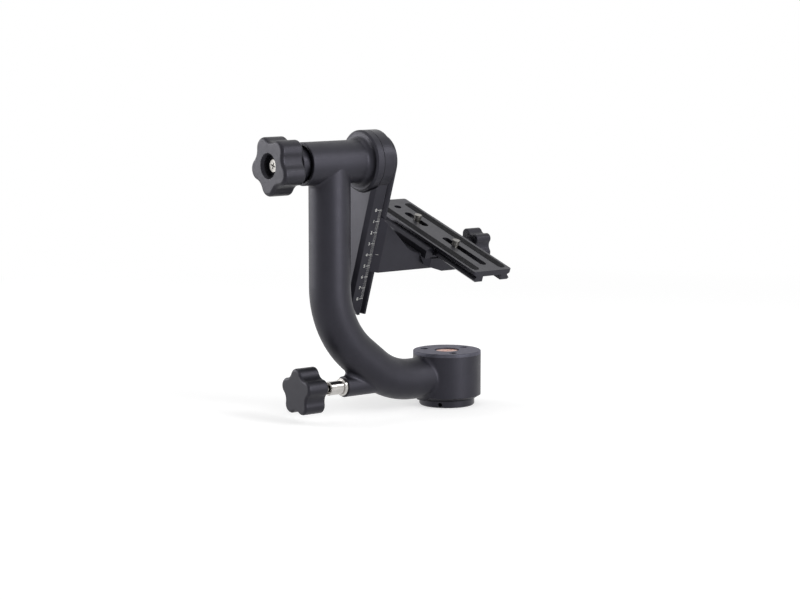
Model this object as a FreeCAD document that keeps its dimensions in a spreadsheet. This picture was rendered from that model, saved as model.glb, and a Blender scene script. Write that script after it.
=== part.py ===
"""Gimbal head for long lenses: pan base, J arm, swing arm, sliding platform, clamp and plate.

World frame in millimetres: the origin is where the pan axis leaves the bottom face of the base,
+Z is up, the tilt axis runs along X and the lens looks along -Y.  Pieces that tilt are drawn
upright about the tilt axis and are then set at the rest tilt.
"""
import FreeCAD, Part
import math
import os
import re
import Sketcher
from FreeCAD import Placement, Rotation, Vector

# Driving dimensions: name -> (millimetres or degrees, what it is)
SIZES = {
    # pan base and hub
    "base_radius": (23.4, "base ring, outer radius"),
    "base_height": (5.6, "base ring, height"),
    "base_edge": (0.9, "base ring, lower chamfer"),
    "grub_radius": (1.75, "radial grub screw, radius"),
    "grub_length": (6.0, "radial grub screw, length"),
    "grub_angle": (216.7, "radial grub screws, first direction"),
    "base_screw_circle": (14.6, "base screws, pitch circle radius"),
    "base_screw_radius": (1.75, "base screws, shank radius"),
    "base_screw_head": (3.1, "base screws, head radius"),
    "base_screw_head_height": (2.2, "base screws, head height"),
    "base_screw_length": (5.4, "base screws, shank length"),
    "insert_radius": (8.0, "thread insert, outer radius"),
    "insert_height": (14.0, "thread insert, height"),
    "tripod_thread_radius": (4.7625, "three eighths inch thread, nominal radius"),
    "hub_radius": (28.8, "hub, outer radius"),
    "hub_lower_radius": (24.2, "hub, radius at its underside"),
    "hub_bottom_gap": (0.35, "gap between base ring and hub"),
    "hub_chamfer_height": (2.9, "hub, height of the lower chamfer"),
    "hub_margin_high": (1.0, "hub, wall above the leg"),
    "foot_wall": (1.45, "spindle foot, wall outside the base screws"),
    "foot_height": (3.0, "spindle foot, height"),
    "foot_clearance": (0.7, "room round the spindle foot"),
    "foot_step": (0.4, "step from the spindle foot to the lower bearing"),
    "cover_spigot_length": (2.7, "hub cover, spigot length"),
    "pan_race_bore": (10.0, "pan bearing, bore radius"),
    "race_shoulder": (1.4, "shoulders that the inner races rest on, height"),
    "pan_race_outer": (16.0, "pan bearing, outer radius"),
    "pan_race_width": (7.0, "pan bearing, width"),
    "pan_shoulder": (1.8, "hub, width of the bearing shoulders"),
    "drum_clearance": (1.8, "room round the brake drum"),
    "spindle_thread_radius": (8.0, "spindle, thread radius for the nut"),
    "nut_flange_width": (4.0, "pan nut, width of its flange"),
    "nut_flange_height": (1.8, "pan nut, flange height"),
    "nut_wall": (1.3, "pan nut, wall of its boss"),
    "nut_boss_height": (2.8, "pan nut, boss height"),
    "nut_cap": (1.2, "pan nut, thickness of its closed top"),
    "nut_slot_width": (1.6, "pan nut, width of the spanner slot"),
    "nut_slot_depth": (0.6, "pan nut, depth of the spanner slot"),
    "cover_height": (2.8, "hub cover, thickness"),
    "cover_hole_gap": (1.1, "gap between nut and cover"),
    "cover_edge": (0.9, "hub cover, rounded upper edge"),
    "cover_spigot_wall": (2.45, "hub cover, spigot wall"),
    "cover_spigot_gap": (0.15, "spigot to hub bore"),
    "cover_screw_circle": (19.9, "cover screws, pitch circle radius"),
    "cover_screw_angle": (5.0, "cover screws, first direction"),
    "cover_screw_head": (2.9, "cover screws, head radius"),
    "cover_screw_head_height": (1.5, "cover screws, head height"),
    "cover_screw_sink": (0.8, "cover screws, how deep the heads lie"),
    "cover_screw_radius": (1.5, "cover screws, shank radius"),
    "cover_screw_length": (6.0, "cover screws, shank length"),
    "cover_pocket_gap": (0.5, "gap round the cover screws' heads"),
    # J arm
    "tube_radius": (17.1, "J tube, radius"),
    "leg_clearance": (16.2, "room between slab and J tube"),
    "hub_margin_low": (2.55, "hub, wall below the leg"),
    "leg_run": (10.9, "J tube, straight run outside the hub"),
    "upper_bend": (74.3, "J tube, upper bend radius of its centre line"),
    "lower_bend": (65.2, "J tube, lower bend radius of its centre line"),
    "bend_rise": (84.2, "J tube, height above the leg at which the upright starts to bend"),
    "tilt_height": (211.0, "tilt axis, height"),
    "cross_oversize": (0.5, "cross tube, how much wider than the J tube"),
    "cross_overhang": (10.9, "cross tube, length past the J tube"),
    "cross_edge": (0.9, "cross tube, rounded open end"),
    "mouth_step": (1.2, "step from the mouth to the bearing seat"),
    "cross_mouth_depth": (6.7, "cross tube, mouth depth"),
    "flange_step": (7.55, "flange, height above the cross tube"),
    "flange_face": (86.0, "flange face, distance from the pan axis"),
    "flange_rim": (7.4, "flange, width of the rim"),
    "flange_bevel": (1.6, "flange, bevel at the back of the rim"),
    "flange_neck": (4.6, "flange, cove to the cross tube"),
    "saddle_fillet": (3.2, "fillet of the leg into the hub"),
    "tee_fillet": (2.5, "fillet of the J tube into the cross tube"),
    # tilt bearings and shaft
    "tilt_race_bore": (7.5, "tilt bearing, bore radius"),
    "tilt_race_outer": (14.0, "tilt bearing, outer radius"),
    "tilt_race_width": (7.0, "tilt bearing, width"),
    "tilt_shoulder": (2.0, "cross tube, width of the bearing shoulders"),
    "tilt_bearing_inset": (4.6, "inner tilt bearing, depth behind the flange face"),
    "friction_inset": (1.0, "wall between bearing seat and friction ring"),
    "friction_margin": (3.65, "wall round the friction ring"),
    "friction_height": (1.6, "friction ring, thickness"),
    "friction_proud": (0.25, "friction ring, how far it stands out"),
    "tilt_gap": (0.4, "gap between flange and swing arm"),
    "shaft_head_rim": (1.2, "tilt shaft, rim outside the screw heads"),
    "shaft_head_height": (3.6, "tilt shaft, head height"),
    "shaft_screw_circle": (10.6, "shaft screws, pitch circle radius"),
    "shaft_screw_radius": (1.25, "shaft screws, shank radius"),
    "shaft_screw_head": (2.2, "shaft screws, head radius"),
    "shaft_screw_head_height": (1.6, "shaft screws, head height"),
    "shaft_screw_length": (4.0, "shaft screws, shank length"),
    "shaft_screw_room": (0.5, "room past the shaft screws"),
    "stud_radius": (4.0, "tilt lock stud, radius"),
    "stud_reach": (22.0, "tilt lock stud, length inside the shaft"),
    "stud_room": (2.0, "room at the end of the tilt lock stud"),
    "thread_fit": (0.05, "radial clearance of turning threads"),
    "race_gap": (0.08, "radial clearance between balls and races"),
    "race_land": (0.28, "share of the race height taken by each race"),
    "ball_share": (0.19, "ball radius as a share of the race height"),
    # tilt lock
    "washer_height": (1.1, "thrust washer, thickness"),
    "washer_gap": (0.3, "thrust washer, gap to the bearing"),
    "collar_play": (2.0, "gap round the tilt collar"),
    "collar_length": (12.1, "tilt collar, length"),
    "collar_edge": (0.8, "tilt collar, turned edge"),
    "collar_bore_play": (0.2, "gap between stud and collar"),
    "collar_gap": (0.3, "end gaps of the tilt collar"),
    "big_knob_radius": (24.6, "tilt knob, lobe tip radius"),
    "big_knob_lobe": (9.1, "tilt knob, lobe rounding"),
    "big_knob_valley": (11.2, "tilt knob, valley rounding"),
    "big_knob_length": (20.9, "tilt knob, length of the lobes"),
    "big_knob_turn": (193.1, "tilt knob, turn of its first lobe from straight up at rest"),
    "big_knob_boss": (10.0, "tilt knob, boss radius"),
    "big_knob_boss_length": (4.2, "tilt knob, boss length"),
    "big_knob_edge": (3.0, "tilt knob, rounded front edge"),
    "big_knob_back_edge": (2.0, "tilt knob, rounded back edge"),
    "big_knob_recess": (8.9, "tilt knob, recess radius"),
    "big_knob_recess_depth": (5.0, "tilt knob, recess depth"),
    "big_knob_mouth": (10.4, "tilt knob, radius of the recess's slanted mouth"),
    "big_knob_mouth_depth": (2.6, "tilt knob, depth of the recess's slanted mouth"),
    "knob_screw_head": (6.4, "tilt knob screw, head radius"),
    "knob_screw_head_height": (2.2, "tilt knob screw, head height"),
    "knob_screw_dome": (1.4, "tilt knob screw, rounded head edge"),
    "knob_screw_radius": (2.5, "tilt knob screw, shank radius"),
    "knob_screw_length": (14.0, "tilt knob screw, shank length"),
    "cross_recess_arm": (2.6, "cross recess, reach"),
    "cross_recess_width": (1.1, "cross recess, width"),
    "cross_recess_depth": (1.3, "cross recess, depth"),
    "stud_head_radius": (7.5, "tilt lock stud, head radius"),
    "stud_head_height": (6.0, "tilt lock stud, head height"),
    # pan lock
    "lock_rise": (0.6, "pan lock axis, height above the leg's axis"),
    "boss_radius": (8.6, "pan lock boss, radius"),
    "boss_fillet": (3.0, "curve between the boss and the J tube"),
    "boss_inset": (13.3, "pan lock boss, face inward of the J tube's axis"),
    "bushing_ring_radius": (7.4, "pan lock bushing, ring radius"),
    "bushing_ring_width": (3.0, "pan lock bushing, ring width"),
    "bushing_radius": (5.8, "pan lock bushing, nose radius"),
    "bushing_nose": (13.0, "pan lock bushing, nose length"),
    "mouth_wall": (1.2, "pan lock bushing, wall round its open mouth"),
    "mouth_depth": (3.2, "pan lock bushing, depth of its open mouth"),
    "turned_edge": (0.6, "turned edges of the bushing's ring"),
    "nose_edge": (0.5, "turned edge of the bushing's nose"),
    "bushing_sleeve_radius": (6.4, "pan lock bushing, sleeve radius"),
    "bushing_sleeve": (18.0, "pan lock bushing, sleeve length"),
    "lock_rod_radius": (3.0, "pan lock rod, radius"),
    "rod_channel_radius": (4.2, "channel for the pan lock rod, radius"),
    "pad_radius": (5.5, "pan brake pad, radius"),
    "pad_length": (7.6, "pan brake pad, length"),
    "pad_run": (6.0, "pan brake pad, room behind it"),
    "pad_fit": (0.08, "pan brake pad, radial clearance"),
    "pad_gap": (0.3, "pan brake pad to drum at rest"),
    "nose_play": (0.1, "gap round the rod's nose"),
    "nose_end_play": (0.2, "gap at the end of the rod's nose"),
    "rod_nose_radius": (2.0, "pan lock rod, nose radius"),
    "rod_nose_length": (3.0, "pan lock rod, nose length"),
    "shoulder_gap": (0.1, "gap between a screw's shoulder and what it presses"),
    "small_knob_radius": (19.8, "pan knob, lobe tip radius"),
    "small_knob_lobe": (6.9, "pan knob, lobe rounding"),
    "small_knob_valley": (8.1, "pan knob, valley rounding"),
    "small_knob_length": (19.9, "pan knob, length"),
    "small_knob_edge": (2.2, "pan knob, rounded edges"),
    "small_knob_gap": (12.9, "free rod between bushing and pan knob"),
    "small_knob_bore": (12.0, "pan knob, depth of the rod bore"),
    # swing arm
    "rest_tilt": (18.8, "tilt of the swing arm at rest, lens side down"),
    "disc_thickness": (9.6, "swing arm, thickness of the disc"),
    "slab_thickness": (14.0, "swing arm, thickness of the slab"),
    "slab_overhang": (0.8, "swing arm, slab's edge beyond the rail"),
    "slab_bevel": (3.2, "swing arm, bevel of the slab"),
    "slab_inner_bevel": (0.5, "swing arm, small bevel beside the rail"),
    "arm_drop": (130.7, "swing arm, length below the tilt axis"),
    "tip_rise": (14.0, "swing arm, height of the cut tip"),
    "tip_run": (11.0, "swing arm, depth of the cut tip"),
    "slab_clearance": (0.85, "room between the slab's cut and the flange"),
    "rail_depth": (6.5, "rail, depth"),
    "rail_half_width": (20.5, "rail, half width"),
    "rail_undercut": (2.5, "rail, undercut of the dovetail"),
    "rail_neck_depth": (2.2, "rail, depth of the neck"),
    "rail_lip": (1.8, "rail, height of the straight edge"),
    "stop_screw_inset": (4.5, "stop screw, height above the tip"),
    "stop_screw_head": (2.6, "stop screw, head radius"),
    "stop_screw_head_height": (1.2, "stop screw, head height"),
    "stop_screw_radius": (1.5, "stop screw, shank radius"),
    "stop_screw_length": (8.0, "stop screw, shank length"),
    # platform bracket
    "rail_gap": (0.3, "running gap between rail and bracket"),
    "flank_gap": (0.12, "running gap at the rail's slanted flanks"),
    "bracket_wall": (2.8, "bracket, wall beside the rail"),
    "bracket_edge_wall": (0.9, "bracket, wall at the edge of its tapered back"),
    "bracket_edge_run": (8.0, "bracket, length of the tapered back"),
    "bracket_lip": (0.7, "bracket, wall beside the rail's neck at the edge of its front bevel"),
    "bracket_bevel_run": (7.2, "bracket, length of its front bevel"),
    "bracket_top": (43.4, "bracket, height of its top below the tilt axis"),
    "bracket_brow": (2.5, "bracket, flat top before the slope"),
    "shelf_thickness": (12.4, "shelf, thickness"),
    "clamp_floor": (2.7, "clamp, thickness of the floor"),
    "clamp_step": (4.0, "clamp floor, how far it passes the plate's channel"),
    "web_step": (2.3, "bracket, foot of its slope above the shelf"),
    "web_foot": (35.6, "bracket, where slope and foot would meet"),
    "web_curve": (27.0, "bracket, curve between slope and foot"),
    "seat_half_width": (31.0, "seat, half width"),
    "seat_start": (20.0, "seat, where it reaches its full width"),
    "seat_toe": (6.0, "seat, where its slanted end reaches the bottom"),
    "seat_cheek": (5.7, "seat, height of the slanted end above the bottom"),
    "seat_flare": (8.0, "seat, length of the flare"),
    "seat_margin": (2.0, "seat, how far it passes the plate"),
    "housing_outset": (3.0, "gib housing, how far it reaches past the disc's inner face"),
    "housing_depth": (9.5, "gib housing, depth behind the rail's face"),
    "housing_gap": (0.5, "gap between slab and gib housing"),
    "housing_wall": (3.2, "gib housing, back wall"),
    "housing_inset": (6.6, "gib housing, top below the bracket's top"),
    "gib_low_wall": (4.05, "bracket, height below the gib's pocket"),
    "gib_high_wall": (9.95, "bracket, height above the gib's pocket"),
    "gib_thickness": (7.6, "gib, thickness"),
    "gib_fit": (0.15, "gib, clearance in its pocket"),
    "gib_travel_room": (1.4, "gib, room behind it"),
    "lock_screw_radius": (3.0, "platform lock screw, radius"),
    "lock_screw_nose": (1.6, "platform lock screw, nose radius"),
    "lock_screw_nose_length": (2.0, "platform lock screw, nose length"),
    "lock_boss_radius": (8.0, "platform lock boss, radius"),
    "lock_boss_length": (3.5, "platform lock boss, length"),
    "lock_knob_radius": (17.0, "platform knob, lobe tip radius"),
    "lock_knob_lobe": (5.6, "platform knob, lobe rounding"),
    "lock_knob_valley": (7.0, "platform knob, valley rounding"),
    "lock_knob_length": (17.0, "platform knob, length"),
    "lock_knob_edge": (1.8, "platform knob, rounded edges"),
    "lock_knob_gap": (3.1, "free screw between boss and platform knob"),
    "lock_knob_bore": (10.0, "platform knob, depth of the screw bore"),
    # clamp
    "clamp_margin": (1.0, "seat, how far it passes the clamp's ends"),
    "plate_floor_gap": (0.4, "gap between plate and clamp floor"),
    "clamp_wall": (6.5, "fixed jaw, thickness beside the plate"),
    "jaw_drop": (0.6, "jaws, top below the plate's wide edge"),
    "jaw_gap": (0.3, "jaws, gap to the plate"),
    "jaw_neck_gap": (0.15, "jaws, gap under the plate's wide edge"),
    "jaw_thickness": (6.0, "moving jaw, thickness"),
    "jaw_rise": (0.7, "moving jaw, bottom above the shelf's underside"),
    "jaw_seat_gap": (0.3, "moving jaw, gap to the seat"),
    "jaw_edge": (2.0, "jaws, upper bevel"),
    "clamp_axis_depth": (6.1, "clamp screw, depth below the shelf's top"),
    "clamp_screw_radius": (3.0, "clamp screw, radius"),
    "clamp_screw_reach": (30.0, "clamp screw, length inside the seat"),
    "clamp_screw_room": (1.0, "room at the end of the clamp screw"),
    "clamp_shank_fit": (0.3, "clamp screw, radial clearance in the jaw"),
    "guide_pin_radius": (2.0, "guide pins, radius"),
    "guide_pin_spread": (18.0, "guide pins, distance from the middle"),
    "guide_pin_reach": (16.0, "guide pins, length inside the seat"),
    "guide_pin_fit": (0.1, "guide pins, radial clearance in the jaw"),
    "guide_pin_cap": (1.2, "moving jaw, wall outside the guide pins"),
    "guide_pin_end": (0.4, "guide pins, end gap in the jaw"),
    "clamp_knob_radius": (14.6, "clamp knob, lobe tip radius"),
    "clamp_knob_lobe": (4.4, "clamp knob, lobe rounding"),
    "clamp_knob_valley": (5.0, "clamp knob, valley rounding"),
    "clamp_knob_length": (16.0, "clamp knob, length of the lobes"),
    "clamp_knob_edge": (1.6, "clamp knob, rounded edges"),
    "clamp_knob_neck": (7.2, "clamp knob, neck radius"),
    "clamp_knob_neck_length": (17.0, "clamp knob, neck length"),
    "clamp_knob_gap": (0.3, "clamp knob, gap to the jaw"),
    "clamp_bolt_circle": (24.5, "clamp bolts, distance from the middle"),
    "clamp_bolt_radius": (2.0, "clamp bolts, shank radius"),
    "clamp_bolt_head": (3.6, "clamp bolts, head radius"),
    "clamp_bolt_head_height": (2.0, "clamp bolts, head height"),
    "clamp_bolt_length": (10.0, "clamp bolts, shank length"),
    "clamp_bolt_offset": (6.0, "clamp bolts, distance from the pan axis"),
    # camera plate
    "plate_top": (67.0, "plate, top below the tilt axis"),
    "plate_half_width": (20.0, "plate, half width"),
    "plate_flange": (2.7, "plate, height of the wide edge"),
    "plate_undercut": (2.8, "plate, undercut of the dovetail"),
    "plate_neck_drop": (4.9, "plate, depth of the neck below the top"),
    "plate_step": (1.0, "plate, how far the wide edge passes the dovetail"),
    "plate_height": (9.2, "plate, height"),
    "plate_foot_bevel": (1.4, "plate, bevel under the dovetail"),
    "plate_channel": (9.6, "plate, half width of the channel"),
    "plate_web": (4.7, "plate, thickness over the channel"),
    "plate_front": (86.0, "plate, front end"),
    "plate_back": (64.0, "plate, back end"),
    "plate_corner": (2.0, "plate, rounded corners"),
    "slot_play": (0.125, "gap between camera screw and slot"),
    "front_slot_margin": (11.4, "plate, length before the front slot"),
    "front_slot_back": (18.0, "front slot, back end"),
    "back_slot_front": (6.0, "back slot, front end"),
    "back_slot_back": (36.0, "back slot, back end"),
    "plate_hole_margin": (15.8, "plate, length behind the hole's centre"),
    "plate_hole_radius": (3.2, "plate hole, radius"),
    "strip_inner": (10.4, "grip strips, inner edge"),
    "strip_outer": (17.4, "grip strips, outer edge"),
    "strip_margin_front": (4.0, "plate, length before the grip strips"),
    "strip_margin_back": (10.0, "plate, length behind the grip strips"),
    "strip_depth": (0.9, "grip strips, depth of the pocket"),
    "strip_proud": (0.3, "grip strips, how far they stand out"),
    "camera_screw_radius": (3.175, "quarter inch camera screw, radius"),
    "camera_screw_stick": (4.6, "camera screws, length above the plate"),
    "camera_screw_head": (7.0, "camera screws, head radius"),
    "camera_screw_head_height": (2.6, "camera screws, head height"),
    "camera_screw_neck": (2.5, "camera screws, neck radius"),
    "camera_thread_start": (0.2, "camera screws, where the thread starts above the plate"),
    "camera_washer_radius": (8.4, "screw washers, radius"),
    "camera_washer_height": (0.9, "screw washers, thickness"),
    "camera_washer_gap": (0.1, "screw washers, end gaps"),
    "washer_fit": (0.1, "screw washers, radial gap"),
    "front_screw_place": (34.0, "front camera screw, distance before the tilt axis"),
    "back_screw_place": (20.0, "back camera screw, distance behind the tilt axis"),
    "socket_radius": (1.7, "hexagon sockets, corner radius"),
    "socket_depth": (1.0, "hexagon sockets, depth"),
}

# Sizes that follow from others: name -> (rule, what it is)
FOLLOWING = {
    "foot_radius": ("base_screw_circle + base_screw_radius + foot_wall", "spindle foot, radius"),
    "leg_height": (
        "base_height + hub_bottom_gap + hub_margin_low + tube_radius",
        "J tube, height of the lower leg"),
    "hub_top": ("leg_height + tube_radius + hub_margin_high", "hub, seat of the cover"),
    "pan_bearing_low": ("base_height + foot_height + foot_step", "lower pan bearing, underside"),
    "pan_bearing_high": (
        "hub_top - cover_spigot_length - pan_race_width",
        "upper pan bearing, underside"),
    "pan_shoulder_radius": (
        "pan_race_outer - pan_shoulder",
        "hub, shoulder radius between the bearings"),
    "drum_radius": ("pan_shoulder_radius - drum_clearance", "brake drum of the spindle, radius"),
    "nut_flange_radius": ("spindle_thread_radius + nut_flange_width", "pan nut, flange radius"),
    "nut_boss_radius": ("spindle_thread_radius + nut_wall", "pan nut, boss radius"),
    "cover_hole_radius": ("nut_boss_radius + cover_hole_gap", "hub cover, centre hole radius"),
    "cover_spigot_inner": (
        "pan_race_outer - cover_spigot_gap - cover_spigot_wall",
        "hub cover, spigot inner radius"),
    "cover_screw_pocket": ("cover_screw_head + cover_pocket_gap", "cover, radius of the screw pockets"),
    "cross_radius": ("tube_radius + cross_oversize", "cross tube, radius"),
    "cross_mouth_radius": ("tilt_race_outer + mouth_step", "cross tube, mouth radius"),
    "flange_radius": ("cross_radius + flange_step", "flange, radius"),
    "tilt_shoulder_radius": (
        "tilt_race_outer - tilt_shoulder",
        "cross tube, shoulder radius between the bearings"),
    "friction_inner": ("tilt_race_outer + friction_inset", "friction ring, inner radius"),
    "friction_outer": ("flange_radius - friction_margin", "friction ring, outer radius"),
    "shaft_head_radius": (
        "shaft_screw_circle + shaft_screw_head + shaft_head_rim",
        "tilt shaft, head radius"),
    "collar_radius": ("cross_mouth_radius - collar_play", "tilt collar, radius"),
    "collar_bore": ("stud_radius + collar_bore_play", "tilt collar, bore radius"),
    "lock_height": ("leg_height + lock_rise", "pan lock axis, height"),
    "pad_socket_radius": ("rod_nose_radius + nose_play", "pan brake pad, socket radius"),
    "pad_socket_depth": ("rod_nose_length + nose_end_play", "pan brake pad, socket depth"),
    "disc_inner_face": (
        "flange_face - tilt_gap - disc_thickness",
        "swing arm, inner face of the disc and the slab"),
    "slab_outer_face": ("disc_inner_face + slab_thickness", "swing arm, outer face of the slab"),
    "slab_half_width": ("rail_half_width + slab_overhang", "swing arm, half width of the slab"),
    "slab_clear_radius": ("flange_radius + slab_clearance", "swing arm, round cut beside the flange"),
    "rail_face": ("disc_inner_face - rail_depth", "rail, inner face"),
    "rail_neck": ("rail_half_width - rail_undercut", "rail, half width of the neck"),
    "bracket_half_width": ("rail_half_width + rail_gap + bracket_wall", "bracket, half width"),
    "bracket_edge_half_width": (
        "rail_half_width + rail_gap + bracket_edge_wall",
        "bracket, half width beside the slab at the back"),
    "bracket_bevel_start": (
        "rail_neck + rail_gap + bracket_lip",
        "bracket, half width beside the slab at the front"),
    "clamp_floor_top": (
        "plate_top + plate_height + plate_floor_gap",
        "clamp, top of the floor below the tilt axis"),
    "shelf_top": ("clamp_floor_top + clamp_floor", "shelf, top below the tilt axis"),
    "bracket_bottom": (
        "shelf_top + shelf_thickness",
        "bracket, height of its bottom below the tilt axis"),
    "seat_end": ("plate_half_width + seat_margin", "seat, outer face"),
    "housing_outer": ("disc_inner_face + housing_outset", "gib housing, face beside the slab"),
    "housing_inner": ("rail_face - housing_depth", "gib housing, inner face"),
    "gib_end": ("rail_half_width + rail_gap + gib_thickness", "gib, back face"),
    "housing_start": ("slab_half_width + housing_gap", "gib housing, front"),
    "housing_end": ("gib_end + gib_travel_room + housing_wall", "gib housing, back"),
    "housing_top": ("bracket_top + housing_inset", "gib housing, top below the tilt axis"),
    "gib_half_height": (
        "(bracket_bottom - bracket_top - gib_low_wall - gib_high_wall)/2 - gib_fit",
        "gib, half height"),
    "gib_height_middle": (
        "(bracket_bottom - gib_low_wall + bracket_top + gib_high_wall)/2",
        "gib and its lock, height below the tilt axis"),
    "lock_boss_end": ("housing_end + lock_boss_length", "platform lock boss, end"),
    "lock_knob_start": ("lock_boss_end + lock_knob_gap", "platform knob, front face"),
    "clamp_half_length": ("seat_half_width - clamp_margin", "clamp, half length"),
    "clamp_outer": ("plate_half_width + clamp_wall", "clamp, outer face of the fixed jaw"),
    "jaw_top": ("plate_top + plate_flange + jaw_drop", "jaws, top below the tilt axis"),
    "jaw_bottom": ("bracket_bottom - jaw_rise", "moving jaw, bottom below the tilt axis"),
    "clamp_axis": ("shelf_top + clamp_axis_depth", "clamp screw, height below the tilt axis"),
    "plate_dovetail": ("plate_half_width - plate_step", "plate, half width of the dovetail"),
    "plate_neck": ("plate_dovetail - plate_undercut", "plate, half width of the neck"),
    "slot_half_width": ("camera_screw_radius + slot_play", "plate slots, half width"),
    "front_slot_front": ("plate_front - front_slot_margin", "front slot, front end"),
    "plate_hole_place": ("plate_back - plate_hole_margin", "plate hole, distance behind the tilt axis"),
    "strip_front": ("plate_front - strip_margin_front", "grip strips, front end"),
    "strip_back": ("plate_back - strip_margin_back", "grip strips, back end"),
    "tube_offset": (
        "slab_outer_face + leg_clearance + tube_radius",
        "J tube, distance from the pan axis"),
    "cross_end": (
        "tube_offset + tube_radius + cross_overhang",
        "cross tube, distance of its open end from the pan axis"),
    "boss_face": ("tube_offset - boss_inset", "pan lock boss, distance of its face from the pan axis"),
    "small_knob_back": (
        "boss_face + bushing_ring_width + bushing_nose + small_knob_gap",
        "pan knob, distance of its back from the pan axis"),
}

doc = FreeCAD.newDocument("gimbal_head")
sheet = doc.addObject("Spreadsheet::Sheet", "Sizes")
for row, (alias, (number, note)) in enumerate(SIZES.items(), 1):
    sheet.set(f"A{row}", note)
    sheet.set(f"B{row}", str(number))
    sheet.setAlias(f"B{row}", alias)
doc.recompute()
for row, (alias, (rule, note)) in enumerate(FOLLOWING.items(), len(SIZES) + 1):
    sheet.set(f"A{row}", note)
    sheet.set(f"B{row}", f"={rule}")
    sheet.setAlias(f"B{row}", alias)
doc.recompute()

BALLS = 9
LOBES = 5
COVER_SCREWS = 3
BASE_SCREWS = 3
GRUB_SCREWS = 3
SHAFT_SCREWS = 4
WORD = re.compile(r"[a-z][a-z_]*")


# ---------------------------------------------------------------- helpers
def cells(rule):
    """Write a rule such as 'hub_top + cover_height' as an expression on the sheet."""
    known = SIZES.keys() | FOLLOWING.keys()
    return WORD.sub(lambda word: f"Sizes.{word[0]}" if word[0] in known else word[0], str(rule))


def size(name):
    """The number that the sheet holds for one driving dimension."""
    return float(sheet.get(name))


def bind(thing, path, rule):
    """Bind one property of an object, or one constraint of a sketch, to a rule."""
    thing.setExpression(path, cells(rule))


def new_body(label):
    """A new sub-part whose label names its file."""
    body = doc.addObject("PartDesign::Body", label)
    body.Label = label
    return body


def sketch_on(body, plane, lift="0", shift="0"):
    """An empty sketch on an origin plane, lifted along its normal and shifted along its own y."""
    sketch = body.newObject("Sketcher::SketchObject", "sketch")
    role = f"{plane}_Plane"
    support = next(item for item in body.Origin.OriginFeatures if item.Role == role)
    sketch.AttachmentSupport = [(support, "")]
    sketch.MapMode = "FlatFace"
    bind(sketch, "AttachmentOffset.Base.z", lift)
    bind(sketch, "AttachmentOffset.Base.y", shift)
    return sketch


def near(rule):
    """The present value of a rule, as a starting place; 1 where the rule turns an angle."""
    if "deg" in rule:
        return 1.0
    numbers = WORD.sub(lambda word: str(size(word[0])), rule)
    return FreeCAD.Units.Quantity(numbers).Value


def dimension(sketch, kind, places, rule, start=None):
    """Add a driving dimension to a sketch and bind it to a rule."""
    first = near(rule) if start is None else start
    index = sketch.addConstraint(Sketcher.Constraint(kind, *places, first))
    bind(sketch, f"Constraints[{index}]", rule)


def pin_point(sketch, geometry, point, x, y, start=(None, None)):
    """Fix one point of a sketch at the place that two rules give."""
    dimension(sketch, "DistanceX", (-1, 1, geometry, point), x, start[0])
    dimension(sketch, "DistanceY", (-1, 1, geometry, point), y, start[1])


def polygon(sketch, corners):
    """A closed outline of straight lines; each corner is a pair of rules."""
    count = len(corners)
    first = sketch.GeometryCount
    turn = 2 * math.pi / count
    start = [Vector(20 * math.cos(i * turn), 20 * math.sin(i * turn), 0) for i in range(count)]
    for i in range(count):
        sketch.addGeometry(Part.LineSegment(start[i], start[(i + 1) % count]), False)
    for i in range(count):
        after = first + (i + 1) % count
        sketch.addConstraint(Sketcher.Constraint("Coincident", first + i, 2, after, 1))
    for i, (x, y) in enumerate(corners):
        pin_point(sketch, first + i, 1, x, y)


def circle(sketch, x, y, radius):
    """A circle with its centre and radius given by rules."""
    index = sketch.addGeometry(Part.Circle(Vector(1, 1, 0), Vector(0, 0, 1), 1.0), False)
    dimension(sketch, "Radius", (index,), radius)
    pin_point(sketch, index, 3, x, y)


def hexagon(sketch, x, y, radius):
    """A regular hexagon round a point."""
    corners = [(f"{x} + {radius}*cos({60 * i}deg)", f"{y} + {radius}*sin({60 * i}deg)")
               for i in range(6)]
    polygon(sketch, corners)


def slot(sketch, low, high, half_width, x="0"):
    """A round-ended slot along the sketch's y axis, between two end rules."""
    low_centre, high_centre = f"{low} + {half_width}", f"{high} - {half_width}"
    across, under, over, half = near(x), near(low_centre), near(high_centre), near(half_width)
    right, left = across + half, across - half
    arcs = [sketch.addGeometry(Part.ArcOfCircle(
        Part.Circle(Vector(across, y, 0), Vector(0, 0, 1), half), start, start + math.pi), False)
            for y, start in ((under, math.pi), (over, 0))]
    sides = [sketch.addGeometry(Part.LineSegment(Vector(*start, 0), Vector(*end, 0)), False)
             for start, end in (((right, under), (right, over)), ((left, over), (left, under)))]
    chain = [(arcs[0], sides[0]), (sides[0], arcs[1]), (arcs[1], sides[1]), (sides[1], arcs[0])]
    for before, after in chain:
        sketch.addConstraint(Sketcher.Constraint("Tangent", before, 2, after, 1))
    pin_point(sketch, arcs[0], 3, x, low_centre)
    pin_point(sketch, arcs[1], 3, x, high_centre)
    dimension(sketch, "Radius", (arcs[0],), half_width)


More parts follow.
